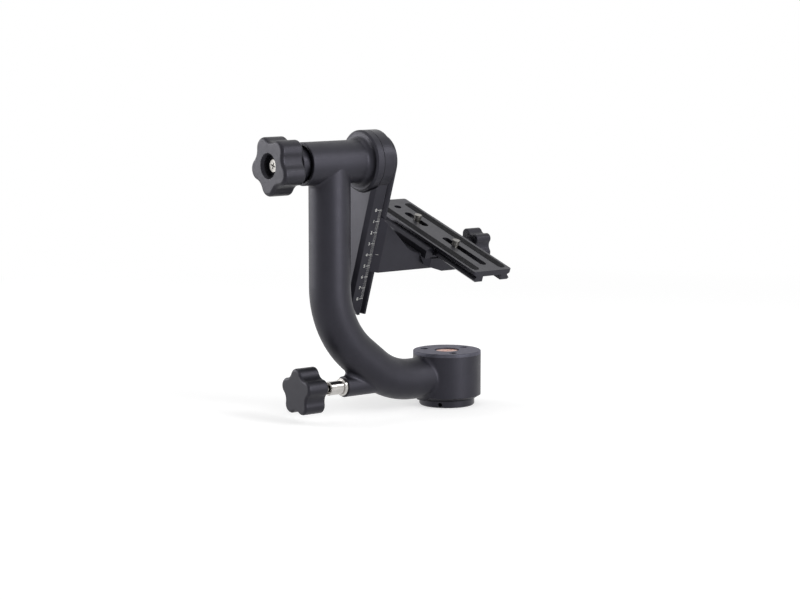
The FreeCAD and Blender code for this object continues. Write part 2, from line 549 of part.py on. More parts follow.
def lobed_outline(sketch, knob):
    """A star of round lobes joined by round valleys, all tangent, one lobe along the sketch's x."""
    tip, lobe, valley = size(f"{knob}_radius"), size(f"{knob}_lobe"), size(f"{knob}_valley")
    step = 2 * math.pi / LOBES
    reach = tip - lobe
    half = step / 2
    valley_reach = reach * math.cos(half) + math.sqrt((lobe + valley) ** 2 - (reach * math.sin(half)) ** 2)
    touch = math.atan2(valley_reach * math.sin(half), valley_reach * math.cos(half) - reach)
    normal = Vector(0, 0, 1)
    arcs = []
    for i in range(LOBES):
        turn = i * step
        centre = Vector(reach * math.cos(turn), reach * math.sin(turn), 0)
        arc = Part.ArcOfCircle(Part.Circle(centre, normal, lobe), turn - touch, turn + touch)
        arcs.append(sketch.addGeometry(arc, False))
        middle = turn + half
        centre = Vector(valley_reach * math.cos(middle), valley_reach * math.sin(middle), 0)
        spread = math.pi - (touch - half)
        arc = Part.ArcOfCircle(Part.Circle(centre, normal, valley), middle + spread,
                               middle + 2 * math.pi - spread)
        arcs.append(sketch.addGeometry(arc, False))
    for i in range(LOBES):
        before, hollow, after = arcs[2 * i], arcs[2 * i + 1], arcs[(2 * i + 2) % len(arcs)]
        sketch.addConstraint(Sketcher.Constraint("Tangent", before, 2, hollow, 2))
        sketch.addConstraint(Sketcher.Constraint("Tangent", hollow, 1, after, 1))
        angle = f"{i * 360 / LOBES}deg"
        pin_point(sketch, before, 3, f"({knob}_radius - {knob}_lobe)*cos({angle})",
                  f"({knob}_radius - {knob}_lobe)*sin({angle})",
                  (reach * math.cos(i * step), reach * math.sin(i * step)))
        dimension(sketch, "Radius", (before,), f"{knob}_lobe")
        dimension(sketch, "Radius", (hollow,), f"{knob}_valley")


def pad(body, sketch, length, down=False, both=False):
    """Add material along the sketch's normal, against it, or half to each side."""
    feature = body.newObject("PartDesign::Pad", "pad")
    feature.Profile = sketch
    bind(feature, "Length", length)
    feature.Reversed = down
    feature.Midplane = both
    return feature


def pocket(body, sketch, length, up=False, both=False):
    """Cut material against the sketch's normal, along it, or half to each side."""
    feature = body.newObject("PartDesign::Pocket", "pocket")
    feature.Profile = sketch
    bind(feature, "Length", length)
    feature.Reversed = up
    feature.Midplane = both
    return feature


def turn_about(body, sketch, axis, cut=False):
    """Turn a sketch a full circle about one of its own axes, adding or cutting material."""
    kind = "PartDesign::Groove" if cut else "PartDesign::Revolution"
    feature = body.newObject(kind, "turn")
    feature.Profile = sketch
    feature.ReferenceAxis = (sketch, [axis])
    feature.Angle = 360
    return feature


def edges_where(feature, test):
    """Names of the edges of a feature that pass a test."""
    doc.recompute()
    return [f"Edge{i}" for i, edge in enumerate(feature.Shape.Edges, 1) if test(edge)]


def soften(body, feature, radius, test, kind="Fillet"):
    """Round or chamfer the chosen edges of a feature."""
    names = edges_where(feature, test)
    if not names:
        raise RuntimeError(f"{body.Label}: no edge to soften")
    softened = body.newObject(f"PartDesign::{kind}", kind.lower())
    softened.Base = (feature, names)
    bind(softened, "Radius" if kind == "Fillet" else "Size", radius)
    return softened


def turned(label, profile):
    """A piece turned about its own Z axis from (radius, height) corners."""
    body = new_body(label)
    sketch = sketch_on(body, "XZ")
    polygon(sketch, profile)
    turn_about(body, sketch, "V_Axis")
    return body


def ring_of(radius, count, start="0"):
    """Rules for places evenly round a circle."""
    return [(f"{radius}*cos({start}*1deg + {360 * i / count}deg)",
             f"{radius}*sin({start}*1deg + {360 * i / count}deg)") for i in range(count)]


def screws(label, name, spots, socket=True):
    """Equal socket screws, their heads ending at Z = 0 and their shanks pointing down."""
    body = new_body(label)
    shapes = ((f"{name}_head", "0", f"{name}_head_height"),
              (f"{name}_radius", f"-{name}_head_height", f"{name}_length"))
    for radius, lift, length in shapes:
        sketch = sketch_on(body, "XY", lift)
        for x, y in spots:
            circle(sketch, x, y, radius)
        pad(body, sketch, length, down=True)
    if socket:
        sketch = sketch_on(body, "XY")
        for x, y in spots:
            hexagon(sketch, x, y, "socket_radius")
        pocket(body, sketch, "socket_depth")
    return body


TILT = "rest_tilt*1deg"
ALONG_X = Rotation(Vector(0, 0, 1), Vector(1, 0, 0))
AGAINST_X = Rotation(Vector(0, 0, 1), Vector(-1, 0, 0))
ALONG_Y = Rotation(Vector(0, 0, 1), Vector(0, 1, 0))
UPRIGHT = Rotation()


def place(body, x="0", y="0", z="0", turn=UPRIGHT):
    """Set a piece in the world frame."""
    body.Placement = Placement(Vector(), turn)
    for axis, rule in zip("xyz", (x, y, z)):
        bind(body, f"Placement.Base.{axis}", rule)


def place_tilted(body, x="0", y="0", z="0", turn=UPRIGHT):
    """Set a piece in the frame of the swing arm, whose origin is on the tilt axis."""
    body.Placement = Placement(Vector(), Rotation(Vector(1, 0, 0), size("rest_tilt")) * turn)
    bind(body, "Placement.Base.x", x)
    bind(body, "Placement.Base.y", f"({y})*cos({TILT}) - ({z})*sin({TILT})")
    bind(body, "Placement.Base.z", f"tilt_height + ({y})*sin({TILT}) + ({z})*cos({TILT})")


def bearing(name, axis):
    """The two races and the balls of one ball bearing, from its underside at Z = 0."""
    bore, outer, width = f"{axis}_race_bore", f"{axis}_race_outer", f"{axis}_race_width"
    height = f"({outer} - {bore})"
    middle = f"({outer} + {bore})/2"
    ball = f"({height}*ball_share)"
    groove = f"({ball} + race_gap)"
    pieces = []
    for part, near, far in (("inner_race", bore, f"{bore} + race_land*{height}"),
                            ("outer_race", outer, f"{outer} - race_land*{height}")):
        body = turned(f"{name}_{part}", [(near, "0"), (far, "0"), (far, width), (near, width)])
        sketch = sketch_on(body, "XZ")
        circle(sketch, middle, f"{width}/2", groove)
        turn_about(body, sketch, "V_Axis", cut=True)
        pieces.append(body)
    balls = new_body(f"{name}_balls")
    first = balls.newObject("PartDesign::AdditiveSphere", "ball")
    bind(first, "Radius", ball)
    support = next(item for item in balls.Origin.OriginFeatures if item.Role == "XY_Plane")
    first.AttachmentSupport = [(support, "")]
    first.MapMode = "FlatFace"
    bind(first, "AttachmentOffset.Base.x", middle)
    bind(first, "AttachmentOffset.Base.z", f"{width}/2")
    doc.recompute()
    around = balls.newObject("PartDesign::PolarPattern", "around")
    around.Originals = [first]
    axis_line = next(item for item in balls.Origin.OriginFeatures if item.Role == "Z_Axis")
    around.Axis = (axis_line, [""])
    around.Angle = 360
    around.Occurrences = BALLS
    balls.Tip = around
    return pieces + [balls]


def lobed_knob(label, knob, length, edge, back_edge):
    """A star knob with its back at Z = 0 and its front along +Z."""
    body = new_body(label)
    sketch = sketch_on(body, "XY")
    lobed_outline(sketch, knob)
    star = pad(body, sketch, length)
    doc.recompute()
    top = size(f"{knob}_length")
    flat = lambda edge_line, height: abs(edge_line.BoundBox.ZMin - height) + abs(
        edge_line.BoundBox.ZMax - height) < 1e-4
    front = soften(body, star, edge, lambda line: flat(line, top))
    soften(body, front, back_edge, lambda line: flat(line, 0.0))
    return body


# ---------------------------------------------------------------- pan base
def base_turn():
    """How far the base and its screws are turned about the pan axis."""
    return Rotation(Vector(0, 0, 1), size("grub_angle"))


def make_base_ring():
    """The ring that stands on the tripod, with counterbored screws and radial grub screws."""
    body = turned("base_ring", [
        ("insert_radius", "0"), ("base_radius - base_edge", "0"), ("base_radius", "base_edge"),
        ("base_radius", "base_height"), ("insert_radius", "base_height")])
    for radius, depth in (("base_screw_radius", "base_height"),
                          ("base_screw_head", "base_screw_head_height")):
        sketch = sketch_on(body, "XY")
        for x, y in ring_of("base_screw_circle", BASE_SCREWS, "90"):
            circle(sketch, x, y, radius)
        pocket(body, sketch, depth, up=True)
    doc.recompute()
    drill = body.newObject("PartDesign::SubtractiveCylinder", "drill")
    support = next(item for item in body.Origin.OriginFeatures if item.Role == "YZ_Plane")
    drill.AttachmentSupport = [(support, "")]
    drill.MapMode = "FlatFace"
    bind(drill, "Radius", "grub_radius")
    bind(drill, "Height", "base_radius")
    bind(drill, "AttachmentOffset.Base.y", "base_height/2")
    doc.recompute()
    around = body.newObject("PartDesign::PolarPattern", "around")
    around.Originals = [drill]
    axis_line = next(item for item in body.Origin.OriginFeatures if item.Role == "Z_Axis")
    around.Axis = (axis_line, [""])
    around.Angle = 360
    around.Occurrences = GRUB_SCREWS
    body.Tip = around
    body.Placement = Placement(Vector(), base_turn())


def make_grub_screws():
    """Three short screws that lock the thread insert, one round pattern with a hexagon socket."""
    body = new_body("base_grub_screws")
    sketch = sketch_on(body, "YZ", "insert_radius")
    circle(sketch, "0", "base_height/2", "grub_radius")
    stem = pad(body, sketch, "grub_length")
    sketch = sketch_on(body, "YZ", "insert_radius + grub_length")
    hexagon(sketch, "0", "base_height/2", "grub_radius*0.6")
    socket = pocket(body, sketch, "socket_depth")
    doc.recompute()
    around = body.newObject("PartDesign::PolarPattern", "around")
    around.Originals = [stem, socket]
    axis_line = next(item for item in body.Origin.OriginFeatures if item.Role == "Z_Axis")
    around.Axis = (axis_line, [""])
    around.Angle = 360
    around.Occurrences = GRUB_SCREWS
    body.Tip = around
    body.Placement = Placement(Vector(), base_turn())


def make_thread_insert():
    """The steel bush with the tripod thread."""
    turned("thread_insert", [
        ("tripod_thread_radius", "0"), ("insert_radius", "0"),
        ("insert_radius", "insert_height"), ("tripod_thread_radius", "insert_height")])


def make_spindle():
    """The fixed post of the pan bearing: foot, journals, brake drum and nut thread."""
    spindle_top = "pan_bearing_high + pan_race_width + nut_flange_height + nut_boss_height - nut_cap"
    foot_top = "base_height + foot_height"
    body = turned("pan_spindle", [
        ("insert_radius", "base_height"), ("foot_radius", "base_height"), ("foot_radius", foot_top),
        ("pan_race_bore + race_shoulder", foot_top),
        ("pan_race_bore + race_shoulder", "pan_bearing_low"),
        ("pan_race_bore", "pan_bearing_low"), ("pan_race_bore", "pan_bearing_low + pan_race_width"),
        ("drum_radius", "pan_bearing_low + pan_race_width"), ("drum_radius", "pan_bearing_high"),
        ("pan_race_bore", "pan_bearing_high"), ("pan_race_bore", "pan_bearing_high + pan_race_width"),
        ("spindle_thread_radius", "pan_bearing_high + pan_race_width"),
        ("spindle_thread_radius", spindle_top), ("0", spindle_top),
        ("0", "insert_height"), ("insert_radius", "insert_height")])
    sketch = sketch_on(body, "XY", "base_height")
    for x, y in ring_of("base_screw_circle", BASE_SCREWS, "90"):
        circle(sketch, x, y, "base_screw_radius")
    pocket(body, sketch, "foot_height", up=True)
    body.Placement = Placement(Vector(), base_turn())


def make_pan_nut():
    """The closed bronze nut that holds the spindle, seen through the cover."""
    low = "pan_bearing_high + pan_race_width"
    top = "nut_flange_height + nut_boss_height"
    body = turned("pan_nut", [
        ("spindle_thread_radius", "0"), ("nut_flange_radius", "0"),
        ("nut_flange_radius", "nut_flange_height"), ("nut_boss_radius", "nut_flange_height"),
        ("nut_boss_radius", top), ("0", top), ("0", f"{top} - nut_cap"),
        ("spindle_thread_radius", f"{top} - nut_cap")])
    sketch = sketch_on(body, "XY", top)
    half, reach = "nut_slot_width/2", "nut_boss_radius + 1"
    polygon(sketch, [(f"-({reach})", f"-{half}"), (reach, f"-{half}"), (reach, half),
                     (f"-({reach})", half)])
    pocket(body, sketch, "nut_slot_depth")
    place(body, z=low)


def make_base_screws():
    """Screws from below that hold the base ring to the spindle foot."""
    body = screws("base_screws", "base_screw", ring_of("base_screw_circle", BASE_SCREWS, "90"))
    body.Placement = Placement(Vector(), base_turn() * Rotation(Vector(0, 1, 0), 180))


def make_pan_bearings():
    """Lower and upper ball bearings of the pan axis."""
    for name, low in (("pan_lower", "pan_bearing_low"), ("pan_upper", "pan_bearing_high")):
        for body in bearing(name, "pan"):
            place(body, z=low)


# ---------------------------------------------------------------- J arm
def arm_path(body):
    """Centre line of the J tube: upright, upper bend, slanted run, lower bend and leg."""
    path = sketch_on(body, "XZ")
    offset, leg, top = size("tube_offset"), size("leg_height"), size("tilt_height")
    upper, lower = size("upper_bend"), size("lower_bend")
    high = Vector(upper - offset, leg + size("bend_rise"), 0)
    low = Vector(-size("hub_radius") - size("leg_run"), leg + lower, 0)
    between = low - high
    slant = math.atan2(between.y, between.x) + math.acos((lower - upper) / between.Length)
    inward = Vector(math.cos(slant), math.sin(slant), 0)
    places = [Vector(-offset, top, 0), Vector(-offset, high.y, 0), high - inward * upper,
              low - inward * lower, Vector(low.x, leg, 0), Vector(-size("hub_radius") / 2, leg, 0)]
    normal = Vector(0, 0, 1)
    path.addGeometry(Part.LineSegment(places[0], places[1]), False)
    bend = Part.ArcOfCircle(Part.Circle(high, normal, upper), math.pi, math.pi + slant)
    path.addGeometry(bend, False)
    path.addGeometry(Part.LineSegment(places[2], places[3]), False)
    bend = Part.ArcOfCircle(Part.Circle(low, normal, lower), math.pi + slant, 1.5 * math.pi)
    path.addGeometry(bend, False)
    path.addGeometry(Part.LineSegment(places[4], places[5]), False)
    for piece in range(4):
        path.addConstraint(Sketcher.Constraint("Tangent", piece, 2, piece + 1, 1))
    path.addConstraint(Sketcher.Constraint("Vertical", 0))
    path.addConstraint(Sketcher.Constraint("Horizontal", 4))
    dimension(path, "Radius", (1,), "upper_bend")
    dimension(path, "Radius", (3,), "lower_bend")
    dimension(path, "DistanceY", (-1, 1, 1, 3), "leg_height + bend_rise")
    dimension(path, "DistanceX", (-1, 1, 3, 3), "-(hub_radius + leg_run)")
    pin_point(path, 0, 1, "-tube_offset", "tilt_height")
    pin_point(path, 4, 2, "-hub_radius/2", "leg_height")
    return path


def make_arm():
    """The J arm: hub, bent tube, cross tube with its flange and the boss of the pan lock."""
    body = new_body("arm_casting")
    path = arm_path(body)
    profile = sketch_on(body, "XY", "tilt_height")
    circle(profile, "-tube_offset", "0", "tube_radius")
    doc.recompute()
    tube = body.newObject("PartDesign::AdditivePipe", "tube")
    tube.Profile = profile
    tube.Spine = (path, [f"Edge{i}" for i in range(1, 6)])

    under = "base_height + hub_bottom_gap"
    hub = sketch_on(body, "XZ")
    low, high = f"{under} - saddle_fillet*2", "hub_top + saddle_fillet*2"
    polygon(hub, [("0", low), ("hub_radius", low), ("hub_radius", high), ("0", high)])
    hub_turn = turn_about(body, hub, "V_Axis")
    soften(body, hub_turn, "saddle_fillet", saddle_edge)
    trims = sketch_on(body, "XZ")
    far = "hub_radius + saddle_fillet*1.2"
    polygon(trims, [("0", "-hub_radius"), (far, "-hub_radius"), (far, under), ("hub_radius", under),
                    ("hub_radius", f"{under} + hub_chamfer_height"), ("hub_lower_radius", under),
                    ("0", under)])
    polygon(trims, [("0", "hub_top"), (far, "hub_top"), (far, "hub_top*2"), ("0", "hub_top*2")])
    turn_about(body, trims, "V_Axis", cut=True)

    cross = sketch_on(body, "XZ", shift="tilt_height")
    rim_back = "-(flange_face + flange_rim)"
    polygon(cross, [
        ("-cross_end", "0"), ("-cross_end", "cross_radius - cross_edge"),
        ("-cross_end + cross_edge*0.3", "cross_radius - cross_edge*0.3"),
        ("-cross_end + cross_edge", "cross_radius"), (rim_back, "cross_radius"),
        (rim_back, "flange_radius - flange_bevel"), (f"{rim_back} + flange_bevel", "flange_radius"),
        ("-flange_face", "flange_radius"), ("-flange_face", "0")])
    cross_turn = turn_about(body, cross, "H_Axis")
    neck_x = size("flange_face") + size("flange_rim")
    neck = lambda edge: edge.BoundBox.XLength < 0.01 and abs(edge.BoundBox.XMin + neck_x) < 0.01 \
        and edge.BoundBox.YLength < 2 * size("cross_radius") + 0.1
    cove = soften(body, cross_turn, "flange_neck", neck)
    soften(body, cove, "tee_fillet", tee_edge)

    boss = sketch_on(body, "YZ", "-boss_face")
    circle(boss, "0", "lock_height", "boss_radius")
    boss_pad = pad(body, boss, "boss_face - hub_radius")
    soften(body, boss_pad, "boss_fillet", boss_edge)
    doc.recompute()

    cavity = sketch_on(body, "XZ")
    polygon(cavity, [
        ("0", "0"), ("foot_radius + foot_clearance", "0"),
        ("foot_radius + foot_clearance", "pan_bearing_low"), ("pan_race_outer", "pan_bearing_low"),
        ("pan_race_outer", "pan_bearing_low + pan_race_width"),
        ("pan_shoulder_radius", "pan_bearing_low + pan_race_width"),
        ("pan_shoulder_radius", "pan_bearing_high"), ("pan_race_outer", "pan_bearing_high"),
        ("pan_race_outer", "hub_top + 1"), ("0", "hub_top + 1")])
    turn_about(body, cavity, "V_Axis", cut=True)

    bore = sketch_on(body, "XZ", shift="tilt_height")
    first = "-cross_end + cross_mouth_depth"
    last = "-flange_face - tilt_bearing_inset"
    polygon(bore, [
        ("-cross_end - 1", "0"), ("-cross_end - 1", "cross_mouth_radius"), (first, "cross_mouth_radius"),
        (first, "tilt_race_outer"), (f"{first} + tilt_race_width", "tilt_race_outer"),
        (f"{first} + tilt_race_width", "tilt_shoulder_radius"),
        (f"{last} - tilt_race_width", "tilt_shoulder_radius"),
        (f"{last} - tilt_race_width", "tilt_race_outer"), (last, "tilt_race_outer"),
        ("-flange_face + 1", "tilt_race_outer"), ("-flange_face + 1", "0")])
    turn_about(body, bore, "H_Axis", cut=True)

    seat = sketch_on(body, "YZ", "-flange_face", shift="tilt_height")
    circle(seat, "0", "0", "friction_outer")
    circle(seat, "0", "0", "friction_inner")
    pocket(body, seat, "friction_height - friction_proud")

    for radius, start, length in (
            ("bushing_sleeve_radius", "-boss_face", "bushing_sleeve"),
            ("rod_channel_radius", "-boss_face", "boss_face - pan_shoulder_radius"),
            ("pad_radius + pad_fit", "-drum_radius - pad_gap - pad_length - pad_run",
             "pad_length + pad_run")):
        sketch = sketch_on(body, "YZ", start)
        circle(sketch, "0", "lock_height", radius)
        pocket(body, sketch, length, up=True)

    holes = sketch_on(body, "XY", "hub_top")
    for x, y in ring_of("cover_screw_circle", COVER_SCREWS, "cover_screw_angle"):
        circle(holes, x, y, "cover_screw_radius")
    pocket(body, holes, "cover_screw_length")


def saddle_edge(edge):
    """The line where the lower leg meets the wall of the hub."""
    box = edge.BoundBox
    inside = box.XMin > -size("hub_radius") - 0.01 and box.XMax < 0
    return inside and box.ZMax < size("leg_height") + size("tube_radius") + 0.01


def boss_edge(edge):
    """The line where the boss of the pan lock meets the slanted run of the J tube."""
    box = edge.BoundBox
    curved = isinstance(edge.Curve, Part.BSplineCurve)
    beside = box.XMin > -size("boss_face") + 0.1 and box.XMax < -size("hub_radius") - 1
    return curved and beside and box.ZMax < size("lock_height") + size("boss_radius") + 0.01


def tee_edge(edge):
    """The line where the upright tube meets the underside of the cross tube."""
    box = edge.BoundBox
    near = abs((box.XMin + box.XMax) / 2 + size("tube_offset")) < 2
    return near and box.XLength > size("tube_radius") and box.ZMax < size("tilt_height") + 0.01 \
        and box.ZMin > size("tilt_height") - size("cross_radius") - 2 and box.ZLength > 1


def make_hub_cover():
    """The round cover with a spigot that holds the upper bearing and three screw pockets."""
    bearing_top = "pan_bearing_high + pan_race_width"
    body = turned("hub_cover", [
        ("cover_hole_radius", "hub_top"), ("cover_spigot_inner", "hub_top"),
        ("cover_spigot_inner", bearing_top), ("pan_race_outer - cover_spigot_gap", bearing_top),
        ("pan_race_outer - cover_spigot_gap", "hub_top"), ("hub_radius", "hub_top"),
        ("hub_radius", "hub_top + cover_height"), ("cover_hole_radius", "hub_top + cover_height")])
    solid = body.Tip
    top = size("hub_top") + size("cover_height")
    soften(body, solid, "cover_edge", lambda edge: abs(edge.BoundBox.ZMin - top) < 1e-4
           and edge.BoundBox.XMax > size("hub_radius") - 0.01)
    depth = "cover_screw_sink + cover_screw_head_height"
    for radius, length in (("cover_screw_pocket", depth), ("cover_screw_radius", "cover_height + 1")):
        sketch = sketch_on(body, "XY", "hub_top + cover_height")
        for x, y in ring_of("cover_screw_circle", COVER_SCREWS, "cover_screw_angle"):
            circle(sketch, x, y, radius)
        pocket(body, sketch, length)


def make_cover_screws():
    """Screws of the hub cover."""
    spots = ring_of("cover_screw_circle", COVER_SCREWS, "cover_screw_angle")
    place(screws("hub_cover_screws", "cover_screw", spots), z="hub_top + cover_height - cover_screw_sink")


def make_tilt_bearings():
    """Outer and inner ball bearings of the tilt axis."""
    places = (("tilt_outer", "-cross_end + cross_mouth_depth"),
              ("tilt_inner", "-flange_face - tilt_bearing_inset - tilt_race_width"))
    for name, start in places:
        races = bearing(name, "tilt")
        place(races[1], x=start, z="tilt_height", turn=ALONG_X)
        for body in (races[0], races[2]):
            place_tilted(body, x=start, turn=ALONG_X)


def make_friction_ring():
    """The brake lining in the face of the flange."""
    body = turned("tilt_friction_ring", [
        ("friction_inner", "0"), ("friction_outer", "0"),
        ("friction_outer", "friction_height"), ("friction_inner", "friction_height")])
    place(body, x="-flange_face - friction_height + friction_proud", z="tilt_height", turn=ALONG_X)


# ---------------------------------------------------------------- pan lock
def make_pan_lock():
    """Threaded bushing, brake pad, rod and star knob of the pan lock."""
    ring_end = "bushing_ring_width + bushing_nose"
    bush = turned("pan_lock_bushing", [
        ("lock_rod_radius + thread_fit", "-bushing_sleeve"), ("bushing_sleeve_radius", "-bushing_sleeve"),
        ("bushing_sleeve_radius", "0"), ("bushing_ring_radius", "0"),
        ("bushing_ring_radius", "bushing_ring_width - turned_edge"),
        ("bushing_ring_radius - turned_edge", "bushing_ring_width"),
        ("bushing_radius", "bushing_ring_width"), ("bushing_radius", f"{ring_end} - nose_edge"),
        ("bushing_radius - nose_edge", ring_end), ("bushing_radius - mouth_wall", ring_end),
        ("bushing_radius - mouth_wall", f"{ring_end} - mouth_depth"),
        ("lock_rod_radius + thread_fit", f"{ring_end} - mouth_depth")])
    place(bush, x="-boss_face", z="lock_height", turn=AGAINST_X)

    face = "-drum_radius - pad_gap"
    brake = turned("pan_brake_pad", [
        ("0", "0"), ("pad_radius", "0"), ("pad_radius", "pad_length"),
        ("pad_socket_radius", "pad_length"), ("pad_socket_radius", "pad_length - pad_socket_depth"),
        ("0", "pad_length - pad_socket_depth")])
    place(brake, x=face, z="lock_height", turn=AGAINST_X)

    start = "drum_radius + pad_gap + pad_length"
    rod_end = f"small_knob_back + small_knob_bore - ({start})"
    rod = turned("pan_lock_rod", [
        ("0", "-rod_nose_length"), ("rod_nose_radius", "-rod_nose_length"),
        ("rod_nose_radius", "shoulder_gap"), ("lock_rod_radius", "shoulder_gap"),
        ("lock_rod_radius", rod_end), ("0", rod_end)])
    place(rod, x=f"-({start})", z="lock_height", turn=AGAINST_X)

    knob = lobed_knob("pan_lock_knob", "small_knob", "small_knob_length", "small_knob_edge",
                      "small_knob_edge*0.7")
    bore = sketch_on(knob, "XY")
    circle(bore, "0", "0", "lock_rod_radius")
    pocket(knob, bore, "small_knob_bore", up=True)
    place(knob, x="-small_knob_back", z="lock_height", turn=Rotation(Vector(0, 1, 0), -90))


# ---------------------------------------------------------------- swing arm and tilt shaft
def make_swing_arm():
    """Disc against the flange, bevelled slab with a cut tip, and the dovetail rail."""
    body = new_body("swing_arm")
    sketch = sketch_on(body, "XY", "-arm_drop")
    half = [("-slab_outer_face", "slab_half_width - slab_bevel"),
            ("-slab_outer_face + slab_bevel", "slab_half_width"),
            ("-disc_inner_face - slab_inner_bevel", "slab_half_width"),
            ("-disc_inner_face", "slab_half_width - slab_inner_bevel"),
            ("-disc_inner_face", "rail_neck"),
            ("-disc_inner_face + rail_neck_depth", "rail_neck"),
            ("-rail_face - rail_lip", "rail_half_width"), ("-rail_face", "rail_half_width")]
    mirrored = [(x, f"-({y})") for x, y in reversed(half)]
    polygon(sketch, half + mirrored)
    pad(body, sketch, "arm_drop")

    tip = sketch_on(body, "XZ")
    low = "-arm_drop - 1"
    polygon(tip, [("-slab_outer_face - 1", low), ("-slab_outer_face + tip_run", low),
                  ("-slab_outer_face + tip_run", "-arm_drop"),
                  ("-slab_outer_face", "-arm_drop + tip_rise"),
                  ("-slab_outer_face - 1", "-arm_drop + tip_rise")])
    pocket(body, tip, "slab_half_width*2 + 2", both=True)

    around = sketch_on(body, "YZ", "-slab_outer_face - 1")
    circle(around, "0", "0", "slab_clear_radius")
    pocket(body, around, "slab_outer_face - flange_face + tilt_gap + 1", up=True)

    disc = sketch_on(body, "YZ", "-flange_face + tilt_gap")
    circle(disc, "0", "0", "flange_radius")
    pad(body, disc, "flange_face - tilt_gap - disc_inner_face")
    cap = sketch_on(body, "YZ", "-disc_inner_face")
    circle(cap, "0", "0", "rail_half_width")
    pad(body, cap, "disc_inner_face - rail_face")
    doc.recompute()

    for radius, start, length in (
            ("tilt_race_bore", "-flange_face", "flange_face - rail_face + 1"),
            ("shaft_head_radius", "-rail_face - shaft_head_height", "shaft_head_height + 1")):
        sketch = sketch_on(body, "YZ", start)
        circle(sketch, "0", "0", radius)
        pocket(body, sketch, length, up=True)
    sketch = sketch_on(body, "YZ", "-rail_face - shaft_head_height")
    for y, z in ring_of("shaft_screw_circle", SHAFT_SCREWS, "45"):
        circle(sketch, y, z, "shaft_screw_radius")
    pocket(body, sketch, "shaft_screw_length - shaft_head_height + shaft_screw_head_height")
    stop = sketch_on(body, "YZ", "-rail_face")
    circle(stop, "0", "-arm_drop + stop_screw_inset", "stop_screw_radius")
    pocket(body, stop, "stop_screw_length")
    place_tilted(body)


def make_tilt_shaft():
    """Shaft with a flat head in the swing arm, tapped at its outer end."""
    start = "-rail_face"
    length = "cross_end - cross_mouth_depth - rail_face + washer_gap + washer_height"
    body = turned("tilt_shaft", [
        ("0", "0"), ("shaft_head_radius", "0"), ("shaft_head_radius", "shaft_head_height"),
        ("tilt_race_bore", "shaft_head_height"), ("tilt_race_bore", length),
        ("stud_radius + thread_fit", length),
        ("stud_radius + thread_fit", f"{length} - stud_reach - stud_room"),
        ("0", f"{length} - stud_reach - stud_room")])
    sketch = sketch_on(body, "XY")
    for x, y in ring_of("shaft_screw_circle", SHAFT_SCREWS, "45"):
        circle(sketch, x, y, "shaft_screw_head")
    pocket(body, sketch, "shaft_screw_head_height", up=True)
    sketch = sketch_on(body, "XY")
    for x, y in ring_of("shaft_screw_circle", SHAFT_SCREWS, "45"):
        circle(sketch, x, y, "shaft_screw_radius")
    pocket(body, sketch, "shaft_head_height + shaft_screw_room", up=True)
    place_tilted(body, x=start, turn=AGAINST_X)
    heads = screws("tilt_shaft_screws", "shaft_screw", ring_of("shaft_screw_circle", SHAFT_SCREWS, "45"))
    place_tilted(heads, x=start, turn=ALONG_X)
    stop = screws("platform_stop_screw", "stop_screw", [("0", "0")])
    place_tilted(stop, x="-rail_face + stop_screw_head_height", z="-arm_drop + stop_screw_inset",
                 turn=ALONG_X)


